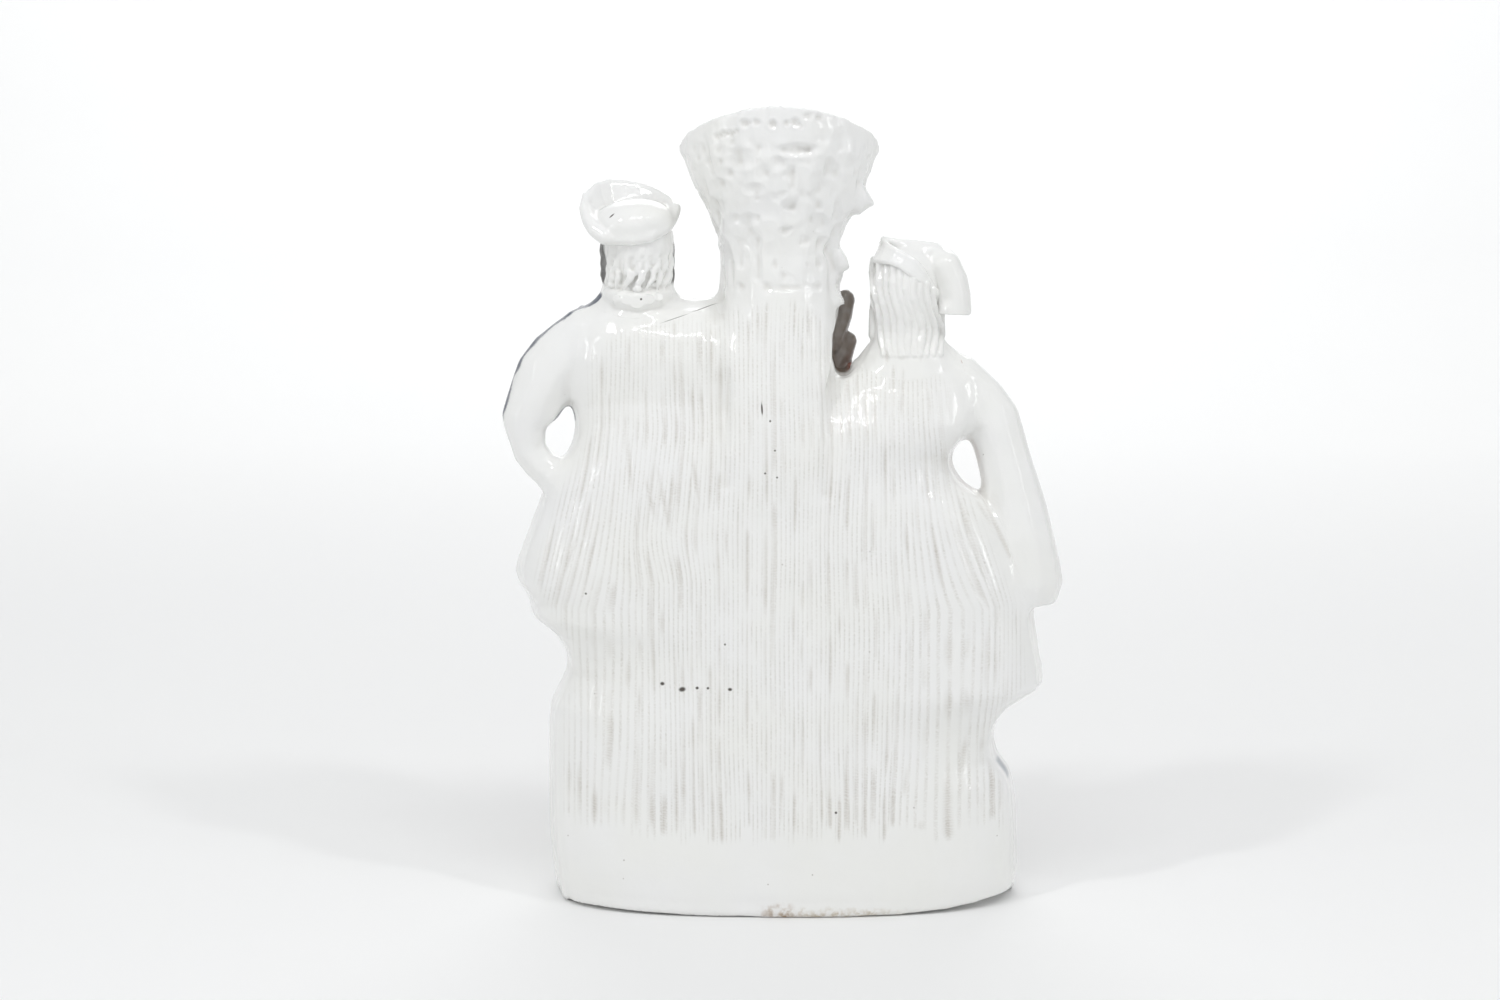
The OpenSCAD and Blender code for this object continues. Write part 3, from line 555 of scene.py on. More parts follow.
# Finger dents in the flare of the trunk, as x, z, half width, half height and depth
DENTS = [
    (-31.5, 374.5, 1.9, 1.7, 0.9), (-28.6, 375.6, 1.9, 1.8, 1.0), (-25.4, 376.0, 1.9, 1.6, 0.9),
    (-22.8, 377, 1.5, 1.4, 0.7), (-18.4, 381, 2.4, 2.0, 1.2), (-13.6, 381.6, 2.6, 1.7, 0.8),
    (-5.4, 380.8, 2.0, 2.0, 1.1), (1.4, 381.2, 1.7, 1.5, 0.8), (5.2, 381.6, 2.1, 2.1, 1.1),
    (7.6, 380, 1.6, 1.6, 0.8), (11.2, 384.4, 2.4, 1.7, 0.9), (16.4, 383.6, 1.8, 1.5, 0.8),
    (-20.5, 364.5, 7.0, 4.2, 1.5), (7, 368.6, 8.5, 2.8, 1.3), (27, 371, 4, 6, 1.0), (30, 362, 4, 4, 0.9),
    (-29, 368, 3.5, 2.2, 0.7), (-41, 367, 3, 4, 0.8), (-3, 362, 3.4, 3.2, 0.7), (-14, 350, 4.4, 2.6, 0.9),
    (-30, 350, 4.5, 4, 0.9), (17, 352, 4, 5, 0.9), (4, 340, 4.5, 5, 1.0), (-31, 341, 4, 5, 0.9),
    (16, 334, 4, 4, 1.0), (19, 322, 3.5, 3.5, 0.9), (-15, 325, 4, 5, 0.7), (1, 302.5, 7, 1.6, 0.6),
]


def worked(p, n):
    """How far each point of the skin moves out, in mm, and the painted shade and pooled glaze of its combing,
    0 to 1.
    """
    x, y, z = p.T
    back = rise(-n[:, 1], 0.2, 0.6)
    front = rise(n[:, 1], 0.1, 0.5)
    out = 0.38 * grain(p, 24, 1) + 0.1 * grain(p, 7, 2)
    comb = comb_marks(p)[0] * back * (z < 300)
    out -= COMB_DEPTH * comb
    # Soft valleys that run down from the shoulders on both sides of the trunk
    for valley in ([(205, -27), (250, -31), (300, -32)], [(205, 21), (250, 24.5), (290, 25)]):
        off = (x - between(valley, z)) / 3.4
        out -= back * 0.5 * np.exp(-off ** 2) * rise(z, 208, 262) * (1 - rise(z, 286, 298))
    # Bark: dimples, and long flutes down the sides
    wide = np.interp(z, [290, 318, 350, 390], [33, 33, 42, 52])
    bark = rise(z, 293, 306) * (1 - rise(np.abs(x - TRUNK) - wide, 0, 3))
    pits = np.maximum(0, grain(p, (4.2, 4.2, 5.5), 31) - 0.1) + 0.7 * np.maximum(0, grain(p, (7, 7, 10), 32))
    flutes = grain(p * (1, 1, 0.25), 4.6, 33) * rise(np.abs(x - TRUNK), 10, 24)
    out -= bark * (1.8 * pits - 0.4 - flutes) * (1 - 0.75 * rise(z, 368, 378))
    for dx, dz, w, h, deep in DENTS:
        gap = ((x - dx) / w) ** 2 + ((z - dz) / h) ** 2
        out -= back * deep * np.exp(-gap ** 1.5)
        out += back * 0.25 * deep * np.exp(-((np.sqrt(gap) - 1.35) / 0.3) ** 2)
    # Front of the trunk, down to its roots
    stem = front * (1 - rise(np.abs(x - TRUNK), 22, 34)) * rise(z, 30, 44) * (1 - rise(z, 232, 240))
    ridges = grain(p * (1, 1, 0.16), 6.5, 34)
    out += stem * (1.5 * ridges - 0.9 * np.maximum(0, grain(p, (6, 6, 9), 35)))
    # Pleats of the kilt, which open towards the hem
    kilt = front * rise(z, 112, 118) * (1 - rise(z, 196, 203)) * (1 - rise(np.abs(x - MAN), 44, 52))
    kilt *= rise(np.abs(x - MAN), 9, 16)
    pleat = (x - MAN) / (6.5 + 3.0 * np.clip(200 - z, 0, 100) / 84)
    out += kilt * (1.5 * np.abs(2 * (pleat - np.floor(pleat)) - 1) - 0.9)
    # Folds of the skirt outside the apron
    skirt = front * rise(z, 30, 44) * (1 - rise(z, 180, 206)) * (1 - rise(np.abs(x - WOMAN), 50, 60))
    outside = rise(np.abs(x - WOMAN), 15 + (206 - z) * 0.08, 24 + (206 - z) * 0.1)
    turn = (x - WOMAN) / (0.5 + 0.55 * np.clip(212 - z, 0, 212) / 180)
    out += skirt * outside * 2.0 * np.sin(turn / 3.4 + 0.5 * grain(p, (30, 30, 50), 36))
    out += skirt * (1 - outside) * 0.5 * np.sin(turn / 5)
    # Ground: lumps of turf on the mound
    turf = front * rise(z, 8, 14) * (1 - rise(z, 34, 46))
    out += turf * (0.9 * grain(p, 6, 37) + 0.7 * grain(p, 13, 38))
    # Cloth drags a little on the sleeve and the coat
    out += 0.3 * (1 - back) * (1 - bark) * grain(p * (1, 1, 0.4), 9, 39)
    # The comb's last strokes above the plinth are darkest: painted shade and pooled glaze in the grooves
    dark = 0.42 + 0.3 * span(z, 40, 66, 6) * (0.4 + 0.6 * rise(x, 0, 30))
    return out, np.clip(comb * dark, 0, 1)


def mesh_of(points, faces):
    """Mesh in metres from points in mm and faces of one size."""
    mesh = bpy.data.meshes.new("clay")
    mesh.vertices.add(len(points))
    mesh.vertices.foreach_set("co", (points / 1000).astype(np.float32).ravel())
    mesh.loops.add(faces.size)
    mesh.loops.foreach_set("vertex_index", faces.astype(np.int32).ravel())
    mesh.polygons.add(len(faces))
    starts = np.arange(0, faces.size, faces.shape[1], dtype=np.int32)
    mesh.polygons.foreach_set("loop_start", starts)
    mesh.update(calc_edges=True)
    return mesh


def normals_of(mesh):
    normals = np.empty(len(mesh.vertices) * 3, np.float32)
    mesh.vertex_normals.foreach_get("vector", normals)
    return normals.reshape(-1, 3)


def neighbours_mean(values, faces):
    """Mean of each point's neighbours along the faces' edges."""
    ends = np.concatenate([faces[:, [k, (k + 1) % 4]] for k in range(4)]).astype(np.int64)
    ends = np.concatenate([ends, ends[:, ::-1]])
    count = np.bincount(ends[:, 0], minlength=len(values))
    sums = [np.bincount(ends[:, 0], v[ends[:, 1]], len(values)) for v in np.atleast_2d(values.T)]
    return (np.array(sums) / np.maximum(count, 1)).T.astype(np.float32)


def hollows(points, normals, faces):
    """How far each point lies in a hollow, from -1 on a ridge to 1 in a narrow hollow."""
    bend = ((neighbours_mean(points, faces) - points) * normals).sum(1)[:, None]
    wide = bend
    for _ in range(6):
        wide = neighbours_mean(wide, faces)
    return np.clip(4 * bend[:, 0] + 14 * wide[:, 0], -1, 1)


def note(mesh, name, values):
    """Keeps a value at each point of a mesh, for the glaze to read."""
    mesh.attributes.new(name, "FLOAT", "POINT").data.foreach_set("value", values.astype(np.float32))


LOWEST, HIGHEST = (1000 * np.array(corner) for corner in cad_box)


def modelled(clay, steps):
    """Mesh of a block of clay, worked over, with its hollows and combing as attributes of its points."""
    points, faces = clay.skin(steps)
    normals = normals_of(mesh_of(points, faces))
    out, pooled_and_shaded = worked(points, normals)
    points = np.clip(points + normals * out[:, None], LOWEST, HIGHEST)
    mesh = mesh_of(points, faces)
    normals = normals_of(mesh)
    # Hollows and comb grooves are kept for the glaze, which darkens them with painted shade and pooled glaze
    note(mesh, "hollow", hollows(points, normals, faces))
    note(mesh, "combed", pooled_and_shaded)
    return mesh


skin = modelled(body, (0.9 * COARSE, 1.15 * COARSE, 1.5 * COARSE))

# Enamel
# Painted over the glaze on the front only, and fired on: dark hair, flesh, a blue-black coat, brick red
# cloth, brown bark and green turf. The brush runs a little over the sides, so traces of it show from behind.

COAT_BLUE, CLOTH_RED, BARK_BROWN, TURF_GREEN = "#3a4357", "#9a4b39", "#6b5040", "#76864f"
HAIR_DARK, HAIR_BROWN, FLESH, LIP_RED, GILT = "#403e3c", "#55402f", "#e9bfa4", "#b8584a", "#a8874a"
STUB_BROWN, TARTAN_GREEN, SHOE_BLACK, RIM_PINK = "#7c7268", "#4c6650", "#292524", "#a8837a"
BELT_BLACK, POUCH_HAIR, KILT_GROUND, SASH_LINE = "#3a2e28", "#4a4038", "#d9dccf", "#e9e4dc"
CHIP_GREY, HAND_WHITE, FACE_WHITE, CHEEK_PINK = "#7d8792", "#f1eeea", "#f3eee8", "#d98f78"
EYE_WHITE, EYE_DARK, LID_BROWN = "#f4f1ec", "#3c332c", "#5b4436"
# Repeats of the painted patterns, and heights of the eyes, in mm
TARTAN_CHECK, SASH_CHECK, HOSE_CHECK, SPRIG_GAP = 9.5, 7, 8, 13
MAN_EYES, WOMAN_EYES = 319.5, 297.0


def enamelled(p, n, node):
    """Colour times cover, and cover, of the enamel at each point of a piece."""
    x, y, z = p.T
    coat = np.zeros((len(p), 4), np.float32)
    if node.startswith("branch_stub"):
        cover = 0.9 - 0.12 * np.abs(grain(p, 3, 47))
        return coat + np.array(shade(STUB_BROWN), np.float32) * cover[:, None]
    wander = grain(p, 7, 41)
    streak = 0.5 + 0.5 * grain(p * (1, 1, 0.3), 2.6, 42)

    def brush(colour, cover, thin=0.2):
        cover = np.clip(cover * (1 - thin * streak), 0, 1)[:, None]
        coat[:] = coat * (1 - cover) + np.array(shade(colour)) * cover

    # Where the painter stopped: just in front of the seam, or over it in a few places
    edge = 4 + 1.6 * wander
    on_arm = (x < -84) & (z > 236) & (z < 300)
    edge = np.where(on_arm, -8 + 5 * grain(p, 9, 43), edge)
    edge = edge - 14 * rise(x, 122, 130) * span(z, 150, 166, 7) - 8 * rise(x, 96, 104) * span(z, 233, 245, 7)
    front = np.maximum(rise(y, edge, edge + 1.2), rise(n[:, 1], 0.15, 0.4) * rise(y, -14, -10))

    # Trunk
    on_trunk = 1 - rise(np.abs(x - TRUNK) - np.interp(z, [40, 100, 318, 390], [34, 27, 28, 52]), -1, 2)
    on_trunk *= front * rise(z, 34, 50) * rise((x - TRUNK) * n[:, 0] + y * n[:, 1], -3, 3)
    brush(BARK_BROWN, 0.8 * on_trunk * rise(n[:, 1], -0.25, 0.05), 0.55)
    brush(TURF_GREEN, 0.55 * on_trunk * rise(grain(p, (7, 7, 9), 44), 0.1, 0.4), 0.4)
    in_stubs = span(x, 22, 40, 2) * span(y, 5, 40, 2) * span(z, 257, 300, 1.5)
    brush(STUB_BROWN, 1.4 * in_stubs, 0.1)
    brush(RIM_PINK, 0.8 * span(x, -24, -9, 3) * rise(z, 385.5, 387.5) * rise(n[:, 1], -0.5, 0.1), 0.3)

    # Man
    man = 1 - rise(x, -38, -34)
    collar = 1 - rise(z, 289, 293) * (1 - rise(np.abs(x - MAN - 0.5), 15, 17) * (1 - rise(z, 297, 299)))
    hem = 203 + 1.2 * wander
    shirt = 1 - rise(np.abs(x - MAN) - np.interp(z, [228, 250, 292], [8, 12, 5]), -0.8, 0.8)
    brush(COAT_BLUE, front * man * collar * rise(z, hem, hem + 1.2) * (1 - shirt * rise(y, 12, 15)), 0.25)
    if node == "man_right_arm":
        brush(COAT_BLUE, 1 - rise(x, -13, -11), 0.25)
    hip_hand = span(x, -128, -100, 2) * span(z, 198, 214, 2) * front
    brush(FLESH, 0.8 * hip_hand, 0.2)
    hands = rise(y, 38, 41) * span(x, -15, 14, 2) * span(z, 196, 222, 2)
    brush(HAND_WHITE, hands, 0)
    brush(FLESH, 0.8 * hands, 0.2)
    sash = 1 - rise(np.abs((x - MAN + 23) * 0.8 - (289 - z) * 0.6), 5.4, 6.4)
    sash *= rise(y, 14, 17) * span(z, 224, 291, 2) * man
    brush(CLOTH_RED, sash, 0.3)
    brush(SASH_LINE, 0.5 * sash * rise(np.abs(((z + 0.4 * x) / SASH_CHECK) % 1 - 0.5), 0.36, 0.44), 0)
    kilt = rise(y, 10, 14) * span(z, 113, 201, 1) * (1 - rise(np.abs(x - MAN), 46, 52))
    pouch = 1 - rise(np.hypot((x - MAN) / 11.5, (z - 174) / 17), 0.92, 1.0)
    weave_x = np.abs(((x - MAN) / TARTAN_CHECK) % 1 - 0.5)
    weave_z = np.abs((z / TARTAN_CHECK) % 1 - 0.5)
    brush(KILT_GROUND, 0.5 * kilt * (1 - pouch), 0.3)
    brush(TARTAN_GREEN, 0.65 * kilt * (1 - pouch) * rise(np.maximum(weave_x, weave_z), 0.33, 0.37), 0.4)
    brush(CLOTH_RED, 0.8 * kilt * (1 - pouch) * (1 - rise(np.minimum(weave_x, weave_z), 0.04, 0.08)), 0.3)
    brush(POUCH_HAIR, 0.75 * kilt * pouch * (1 - rise(z, 176, 178)), 0.5)
    brush(GILT, 0.8 * kilt * pouch * span(z, 177, 180, 0.5), 0.2)
    strap = man * rise(y, 14, 17) * span(z, 219.8, 225, 0.5) * (1 - rise(np.abs(x - MAN), 32, 34))
    brush(BELT_BLACK, strap, 0.2)
    brush(GILT, rise(y, 20, 24) * (1 - rise(np.hypot((x - MAN) / 5.6, (z - 222) / 4.6), 0.9, 1.05)), 0.1)
    from_legs = np.minimum(np.abs(x + 87.5), np.abs(x + 54.5))
    leg = rise(y, 19, 22) * (1 - rise(from_legs, 12, 14)) * span(z, 28, 116, 2)
    brush(FLESH, 0.7 * leg * rise(z, 97, 99), 0.2)
    check = [np.abs((slant / HOSE_CHECK) % 1 - 0.5) for slant in (x + z, x - z)]
    brush(CLOTH_RED, 0.75 * leg * span(z, 46, 97, 0.8) * rise(np.maximum(*check), 0.4, 0.45), 0.3)
    brush(SHOE_BLACK, leg * (1 - rise(z, 44, 46)) * rise(z, 31, 33), 0.15)
    # Diced band on the front of the bonnet
    if node == "man_bonnet":
        band = rise(n[:, 1], 0.15, 0.4) * span(z, 325, 333.5, 0.6)
        dice = (np.floor((x - MAN) / 3.2) + np.floor(z / 2.9)) % 2
        brush(COAT_BLUE, band * dice, 0.2)
        brush(CLOTH_RED, 0.85 * band * (1 - dice), 0.2)

    # Woman
    woman = rise(x, 30, 34)
    neck = 1 - rise(np.abs(x - WOMAN) - np.interp(z, [246, 268], [0, 14]), -1, 0.5)
    tails = 1 - rise(np.abs(np.abs(x - WOMAN) - np.interp(z, [184, 218], [9.5, 2])), 3.6, 4.6)
    wrap = np.maximum(rise(z, 209 + wander, 211 + wander), tails * span(z, 182, 218, 1) * rise(y, 14, 17))
    bodice = 1 - rise(np.abs(x - WOMAN) - np.interp(z, [206, 218, 266], [20, 0, 15]), -0.8, 0.8)
    bodice = bodice * rise(y, 12, 15) * (1 - tails * (z < 218))
    brush(CLOTH_RED, front * woman * wrap * (1 - rise(z, 265, 268)) * (1 - bodice), 0.3)
    sleeve = span(x, 88, 142, 1) * span(z, 144, 262, 1)
    brush(CLOTH_RED, front * sleeve * rise(x - np.interp(z, [140, 215, 262], [113, 90, 80]), 0, 2), 0.3)
    if node == "woman_left_arm":
        brush(CLOTH_RED, rise(x, 11, 13), 0.3)
    brush(FLESH, 0.75 * neck * rise(y, 8, 10) * span(z, 250, 274, 2), 0.2)
    spot_x, spot_z = (x - WOMAN) / SPRIG_GAP, z / SPRIG_GAP
    row = np.floor(spot_z)
    off_x = (spot_x + 0.5 * (row % 2)) % 1 - 0.5
    off_z = spot_z % 1 - 0.5
    skirt = rise(y, 14, 18) * span(z, 44, 200, 3) * (1 - rise(np.abs(x - WOMAN), 54, 60)) * woman
    for angle, colour in ((90, CLOTH_RED), (210, TARTAN_GREEN), (330, TARTAN_GREEN)):
        dx, dz = 0.13 * math.cos(math.radians(angle)), 0.13 * math.sin(math.radians(angle))
        brush(colour, 0.75 * skirt * (1 - rise(np.hypot(off_x - dx, off_z - dz), 0.07, 0.12)), 0.2)
    brush(GILT, 0.7 * skirt * span(z, 56, 58.5, 0.5), 0.2)
    # A grey chip at the edge below the skirt
    brush(CHIP_GREY, 0.8 * span(x, 102, 112, 1) * span(z, 59, 68.5, 1.5) * span(y, -15, -6, 3), 0.3)

    # Ground
    ground = rise(y, 20, 26) * span(z, 15, 44, 3) * rise(n[:, 2], -0.4, 0.1)
    grass = rise(grain(p, 8, 45), -0.35, 0.1) * (1 - rise(z, 30, 36) * rise(x, 10, 16))
    brush(TURF_GREEN, 0.75 * ground * grass, 0.4)
    brush(BARK_BROWN, 0.45 * ground * rise(grain(p, 6, 46), 0.15, 0.4), 0.4)
    brush(GILT, 0.85 * rise(y, 22, 28) * span(z, 9.4, 11.4, 0.5), 0.2)

    # Heads, without the hats: hair at the sides, flesh, brows, eyes and lips
    if node.endswith(("bonnet", "cap")):
        return coat
    for middle, eyes, hair, behind, low, high in (
        (MAN + 0.5, MAN_EYES, HAIR_DARK, np.where(x < MAN, -7.5, -5), 302.5, 322),
        (WOMAN, WOMAN_EYES, HAIR_BROWN, 5.0, 266, 313),
    ):
        near = span(z, low, high, 1) * (1 - rise(np.abs(x - middle), 24, 26))
        locks = near * rise(y, behind + 2.2 * wander, behind + 1.5 + 2.2 * wander)
        brush(hair, 0.95 * locks, 0.3)
        oval = 1 - rise(np.hypot((x - middle) / 12.2, (z - eyes + 3.5) / 16.5), 0.96, 1.04)
        jaw = (1 - rise(np.abs(x - middle), 11, 12.5)) * (1 - rise(z, eyes - 14, eyes - 10))
        oval = np.maximum(oval, jaw) * near * rise(y, 9, 11)
        brush(FACE_WHITE, oval, 0)
        brush(FLESH, 0.62 * oval, 0.1)
        for side in (-1, 1):
            ex = x - middle - side * 5.6
            ez = z - eyes
            brush(CHEEK_PINK, 0.45 * oval * (1 - rise(np.hypot(ex - side * 2, ez + 8.5), 1.5, 5.5)), 0.1)
            lens = oval * (1 - rise(np.hypot(ex / 3.0, (ez + 0.1) / 1.75), 0.85, 1.0))
            brush(EYE_WHITE, lens, 0)
            brush(EYE_DARK, lens * (1 - rise(np.hypot(ex, ez + 0.1), 1.1, 1.5)), 0)
            lid = 1 - rise(np.abs(ez - 1.7 + 0.09 * ex ** 2), 0.35, 0.75)
            brush(LID_BROWN, 0.8 * oval * lid * (1 - rise(np.abs(ex), 2.8, 3.4)), 0.1)
            brow = 1 - rise(np.abs(ez - 5.4 + 0.06 * (ex * side - 0.5) ** 2), 0.35, 0.8)
            brush(hair, 0.6 * oval * brow * (1 - rise(np.abs(ex), 3.6, 4.6)), 0.2)
        lips = 1 - rise(np.hypot((x - middle) / 4.4, (z - eyes + 13.0) / 1.7), 0.85, 1.05)
        brush(LIP_RED, 0.75 * oval * lips, 0.15)
    return coat


# Heads
# Pressed solid in small two-part moulds and luted to the shoulders. The man wears a rolled neckcloth under
# short tufted hair; the woman's hair falls in long waved locks to a straight end. The faces are plain and
# calm, on the usual proportions: eyes at half the height, nose and mouth in even steps below them.

FINE = 0.55


def model_face(clay, x, eyes):
    """Presses eyes, brows, nose, mouth, cheeks and chin on the front of a head."""
    y = clay.surface(x, eyes - 4, 1)
    for side in (-1, 1):
        clay.ball((x + side * 5.6, y + 0.2, eyes), (4.2, 3.0, 3.0), 1.8, cut=True)
        clay.ball((x + side * 5.6, y - 3.6, eyes - 0.1), (3.1, 2.9, 2.2), 0.5)
        clay.roll([
            (x + side * 2.6, y - 1.9, eyes + 0.2, 0.5),
            (x + side * 5.4, y - 1.0, eyes + 2.0, 0.7),
            (x + side * 8.6, y - 2.9, eyes + 0.4, 0.5),
        ], 0.6)
        clay.roll([
            (x + side * 2.2, y - 0.9, eyes + 4.2, 1.0),
            (x + side * 6.0, y - 1.2, eyes + 5.0, 1.2),
            (x + side * 10.0, y - 4.2, eyes + 3.4, 0.8),
        ], 1.8)
        clay.ball((x + side * 7.6, y - 5.2, eyes - 8.5), (5.5, 5.0, 5.5), 3.5)
        clay.ball((x + side * 2.0, y + 0.9, eyes - 8.4), (1.5, 1.9, 1.4), 0.8)
    clay.roll([
        (x, y - 1.0, eyes + 3, 1.3), (x, y + 0.9, eyes - 3.5, 1.6), (x, y + 2.2, eyes - 7.6, 2.1),
    ], 1.6)
    clay.ball((x, y - 3.4, eyes - 13), (6.0, 4.2, 5.5), 3)
    clay.roll([
        (x - 4.0, y - 0.8, eyes - 12.4, 0.6), (x - 1.2, y + 0.4, eyes - 11.8, 1.0),
        (x + 1.2, y + 0.4, eyes - 11.8, 1.0), (x + 4.0, y - 0.8, eyes - 12.4, 0.6),
    ], 0.7)
    clay.roll([
        (x - 3.4, y - 0.9, eyes - 13.4, 0.6),
        (x, y + 0.3, eyes - 14.2, 1.2),
        (x + 3.4, y - 0.9, eyes - 13.4, 0.6),
    ], 0.7)
    clay.roll([
        (x - 4.2, y, eyes - 12.8, 0.3),
        (x, y + 1.5, eyes - 12.9, 0.35),
        (x + 4.2, y, eyes - 12.8, 0.3),
    ], 0.5, cut=True)
    clay.ball((x, y - 3.2, eyes - 18.2), (5.0, 4.2, 4.0), 2.5)


man_clay = body.finer((-98, -34, 280), (-44, 34, 346), FINE)
model_face(man_clay, MAN + 0.5, MAN_EYES)
dice = np.random.default_rng(11)
# Tufts of short waved hair behind and at the sides, in three rows that overlap
for z, count, turn_by in ((319.5, 13, 0.0), (313.5, 12, 0.13), (307.5, 13, 0.05)):
    for k in range(count):
        turn = math.radians(-195 + 210 * k / (count - 1)) + turn_by + dice.uniform(-0.08, 0.08)
        drift = dice.uniform(0.04, 0.13)
        size = dice.uniform(1.4, 2.2)
        path = []
        for t, wide in ((0, 0.5), (0.25, 0.9), (0.5, 1.0), (0.75, 0.8), (1, 0.35)):
            angle = turn + drift * math.sin(4.5 * t)
            path.append((
                MAN + 0.5 + 16.3 * math.cos(angle),
                0.5 + 18.6 * math.sin(angle),
                z + 3.5 - 9.5 * t,
                size * wide,
            ))
        man_clay.roll(path, 0.9)
# Neckcloth, wound once, tucked in and thumbed into two rows of lumps
NECKCLOTH = [
    (14.6, 2, 299.5, 2.2), (13.2, -8, 298, 3.2), (8, -14.6, 296, 4.2), (0, -17, 295.2, 4.6),
    (-8, -14.8, 296, 4.2), (-13.4, -8, 298, 3.2), (-14.8, 2, 299.5, 2.4), (-11, 12, 298, 3),
    (0, 17.5, 294, 3.6), (11, 12, 297, 3), (14.6, 2, 299.5, 2.2),
]
man_clay.roll([(MAN + 0.5 + x, y, z, r) for x, y, z, r in NECKCLOTH], 1.6)
for z, count, gap, wide, tall in ((301.6, 7, 4.1, 2.4, 1.5), (295.6, 5, 5.2, 2.9, 2.3)):
    for k in range(count):
        x = MAN + 0.5 + gap * (k - (count - 1) / 2) + dice.uniform(-0.7, 0.7)
        high = z + 0.012 * (x - MAN) ** 2 + dice.uniform(-0.7, 0.7)
        size = dice.uniform(0.8, 1.15)
        y = man_clay.surface(x, high, -1)
        man_clay.ball((x, y + 0.3, high), (wide * size, 1.7, tall * size), 0.7)
y = man_clay.surface(MAN + 2.8, 296.6, -1)
man_clay.ball((MAN + 2.8, y - 0.2, 296.6), (1.1, 1.8, 1.1), 0.5, cut=True)
man_clay.ball((MAN + 0.5, 20, 293), (4.5, 3.5, 4), 1.2)

woman_clay = body.finer((32, -36, 256), (94, 34, 322), FINE)
model_face(woman_clay, WOMAN, WOMAN_EYES)
# Long waved locks, from the band of the cap to a straight end across the shoulders
HAIRLINE = [
    (43, 312), (47.4, 313.4), (51.5, 313), (55.7, 311.5),
    (60.3, 308.3), (64.8, 304.7), (69.4, 300.8), (74, 296),
]
for k in range(10):
    first = 43.6 + 3.1 * k
    top = np.interp(first, *zip(*HAIRLINE)) + 2
    size = 2.0 + 0.3 * math.sin(2.4 * k)
    path = []
    for t in np.linspace(0, 1, 14):
        z = top + (269.3 - top) * t
        x = first + 4.4 * rise(-z, -303, -276) + (0.3 + 0.6 * t) * math.sin(0.22 * z + 0.3 * k)
        y = woman_clay.surface(x, z, -1)
        swell = 0.85 + 0.2 * math.sin(0.3 * z + 1.7 * k) ** 2
        path.append((x, y + 0.6, z, size * swell * (1 - 0.2 * t ** 6)))
    woman_clay.roll(path, 0.45)
# Hair parted in the middle and drawn to the sides of the face
for side in (-1, 1):
    for lift, size in ((0, 2.9), (3.4, 2.6), (-3.0, 2.4)):
        woman_clay.roll([
            (WOMAN + side * 1.0, 18.8 - abs(lift) * 0.3, WOMAN_EYES + 9.5 + lift * 0.5, size * 0.8),
            (WOMAN + side * 7.5, 17.4, WOMAN_EYES + 7.5 + lift, size),
            (WOMAN + side * (13.2 + lift * 0.2), 11.5 - lift * 0.6, WOMAN_EYES + 1 + lift * 0.6, size),
            (WOMAN + side * (15.4 + lift * 0.1), 5.5 - lift, WOMAN_EYES - 9, size),
            (WOMAN + side * 16.0, 2.0 - lift, WOMAN_EYES - 20, size * 0.9),
        ], 0.8)

# Hats
# Thin pressed clay set on the heads: a wide soft bonnet with its crown dished and raised on one side, and a
# hooded cap with a broad slanting band and a lappet that hangs beside the neck.

bonnet_clay = Clay((-106, -36, 314), (-40, 36, 360), FINE)
bonnet_clay.ball((-72.8, -1.5, 331.6), (20.8, 21.5, 12.2), 1.5, tilt=-7)
# The crown is turned up round the front and left, as a flap that rises from the dome to its rim
FLAP_FOOT = [
    (-54, -3, 334), (-58, 4, 335), (-63, 9, 336), (-69, 12, 337), (-76, 13, 338), (-83, 12, 337.5),
    (-88, 8, 336), (-91, 1, 334), (-91.5, -6, 332), (-90.5, -11, 330), (-88, -15, 328), (-85, -18, 326),
]
FLAP_RIM = [
    (-52, -1, 339.6), (-55, 6, 342.3), (-61, 12.5, 345.4), (-69, 16.5, 348.2), (-77, 18, 349.6),
    (-85, 17, 349.9), (-91.5, 12, 348.4), (-95.8, 4, 344.4), (-96.6, -4, 339.6), (-95, -10.5, 335),
    (-91.5, -15.5, 330.2), (-86.5, -18.5, 326.6),
]
for share in (0.2, 0.4, 0.6, 0.8, 1.0):
    wall = np.array(FLAP_FOOT) * (1 - share) + np.array(FLAP_RIM) * share
    bonnet_clay.roll([(x, y, z, 2.9 - 0.9 * share) for x, y, z in wall], 2.5)
# The hollow between dome and flap, and the rolled edge over the hair
bonnet_clay.roll([
    (-89, -2, 344, 4), (-82, 2.5, 347, 6), (-74, 5, 348.8, 6.6), (-66, 5, 349.6, 5.4),
    (-59.5, 3, 347.8, 3.2),
], 2.5, cut=True)
bonnet_clay.roll([
    (-87, -13, 326.6, 2.0), (-82, -17.6, 325.4, 2.6), (-73, -20, 325, 2.8), (-64, -18.4, 326.4, 2.6),
    (-57.5, -12.5, 329.6, 2.2), (-54.5, -3, 333, 2),
], 3)

cap_clay = Clay((34, -36, 276), (100, 34, 332), FINE)
cap_clay.ball((60.5, 1, 307), (16.8, 18.5, 14.5), 2)
cap_clay.roll([
    (49, -3, 323.4, 2.4), (56, -3, 321.4, 3.2), (64, -3, 319.6, 4.5), (71, -3, 317.2, 6), (77, -3, 312, 7.4),
], 3)
for y in (-7, 0, 7):
    cap_clay.roll([
        (78, y, 311, 7.6), (81, y, 304, 7.8), (82.2, y, 297, 8), (82.4, y, 290, 8.2), (82.4, y, 281, 8.2),
    ], 2)
part, (px, py, pz) = cap_clay.block(np.array([68, -36, 276]), np.array([100, 34, 300]))
cap_clay.press(part, (pz - 288.4 + 0.03 * (px - 80) + 0 * py).astype(np.float32), 1.0, cut=True)
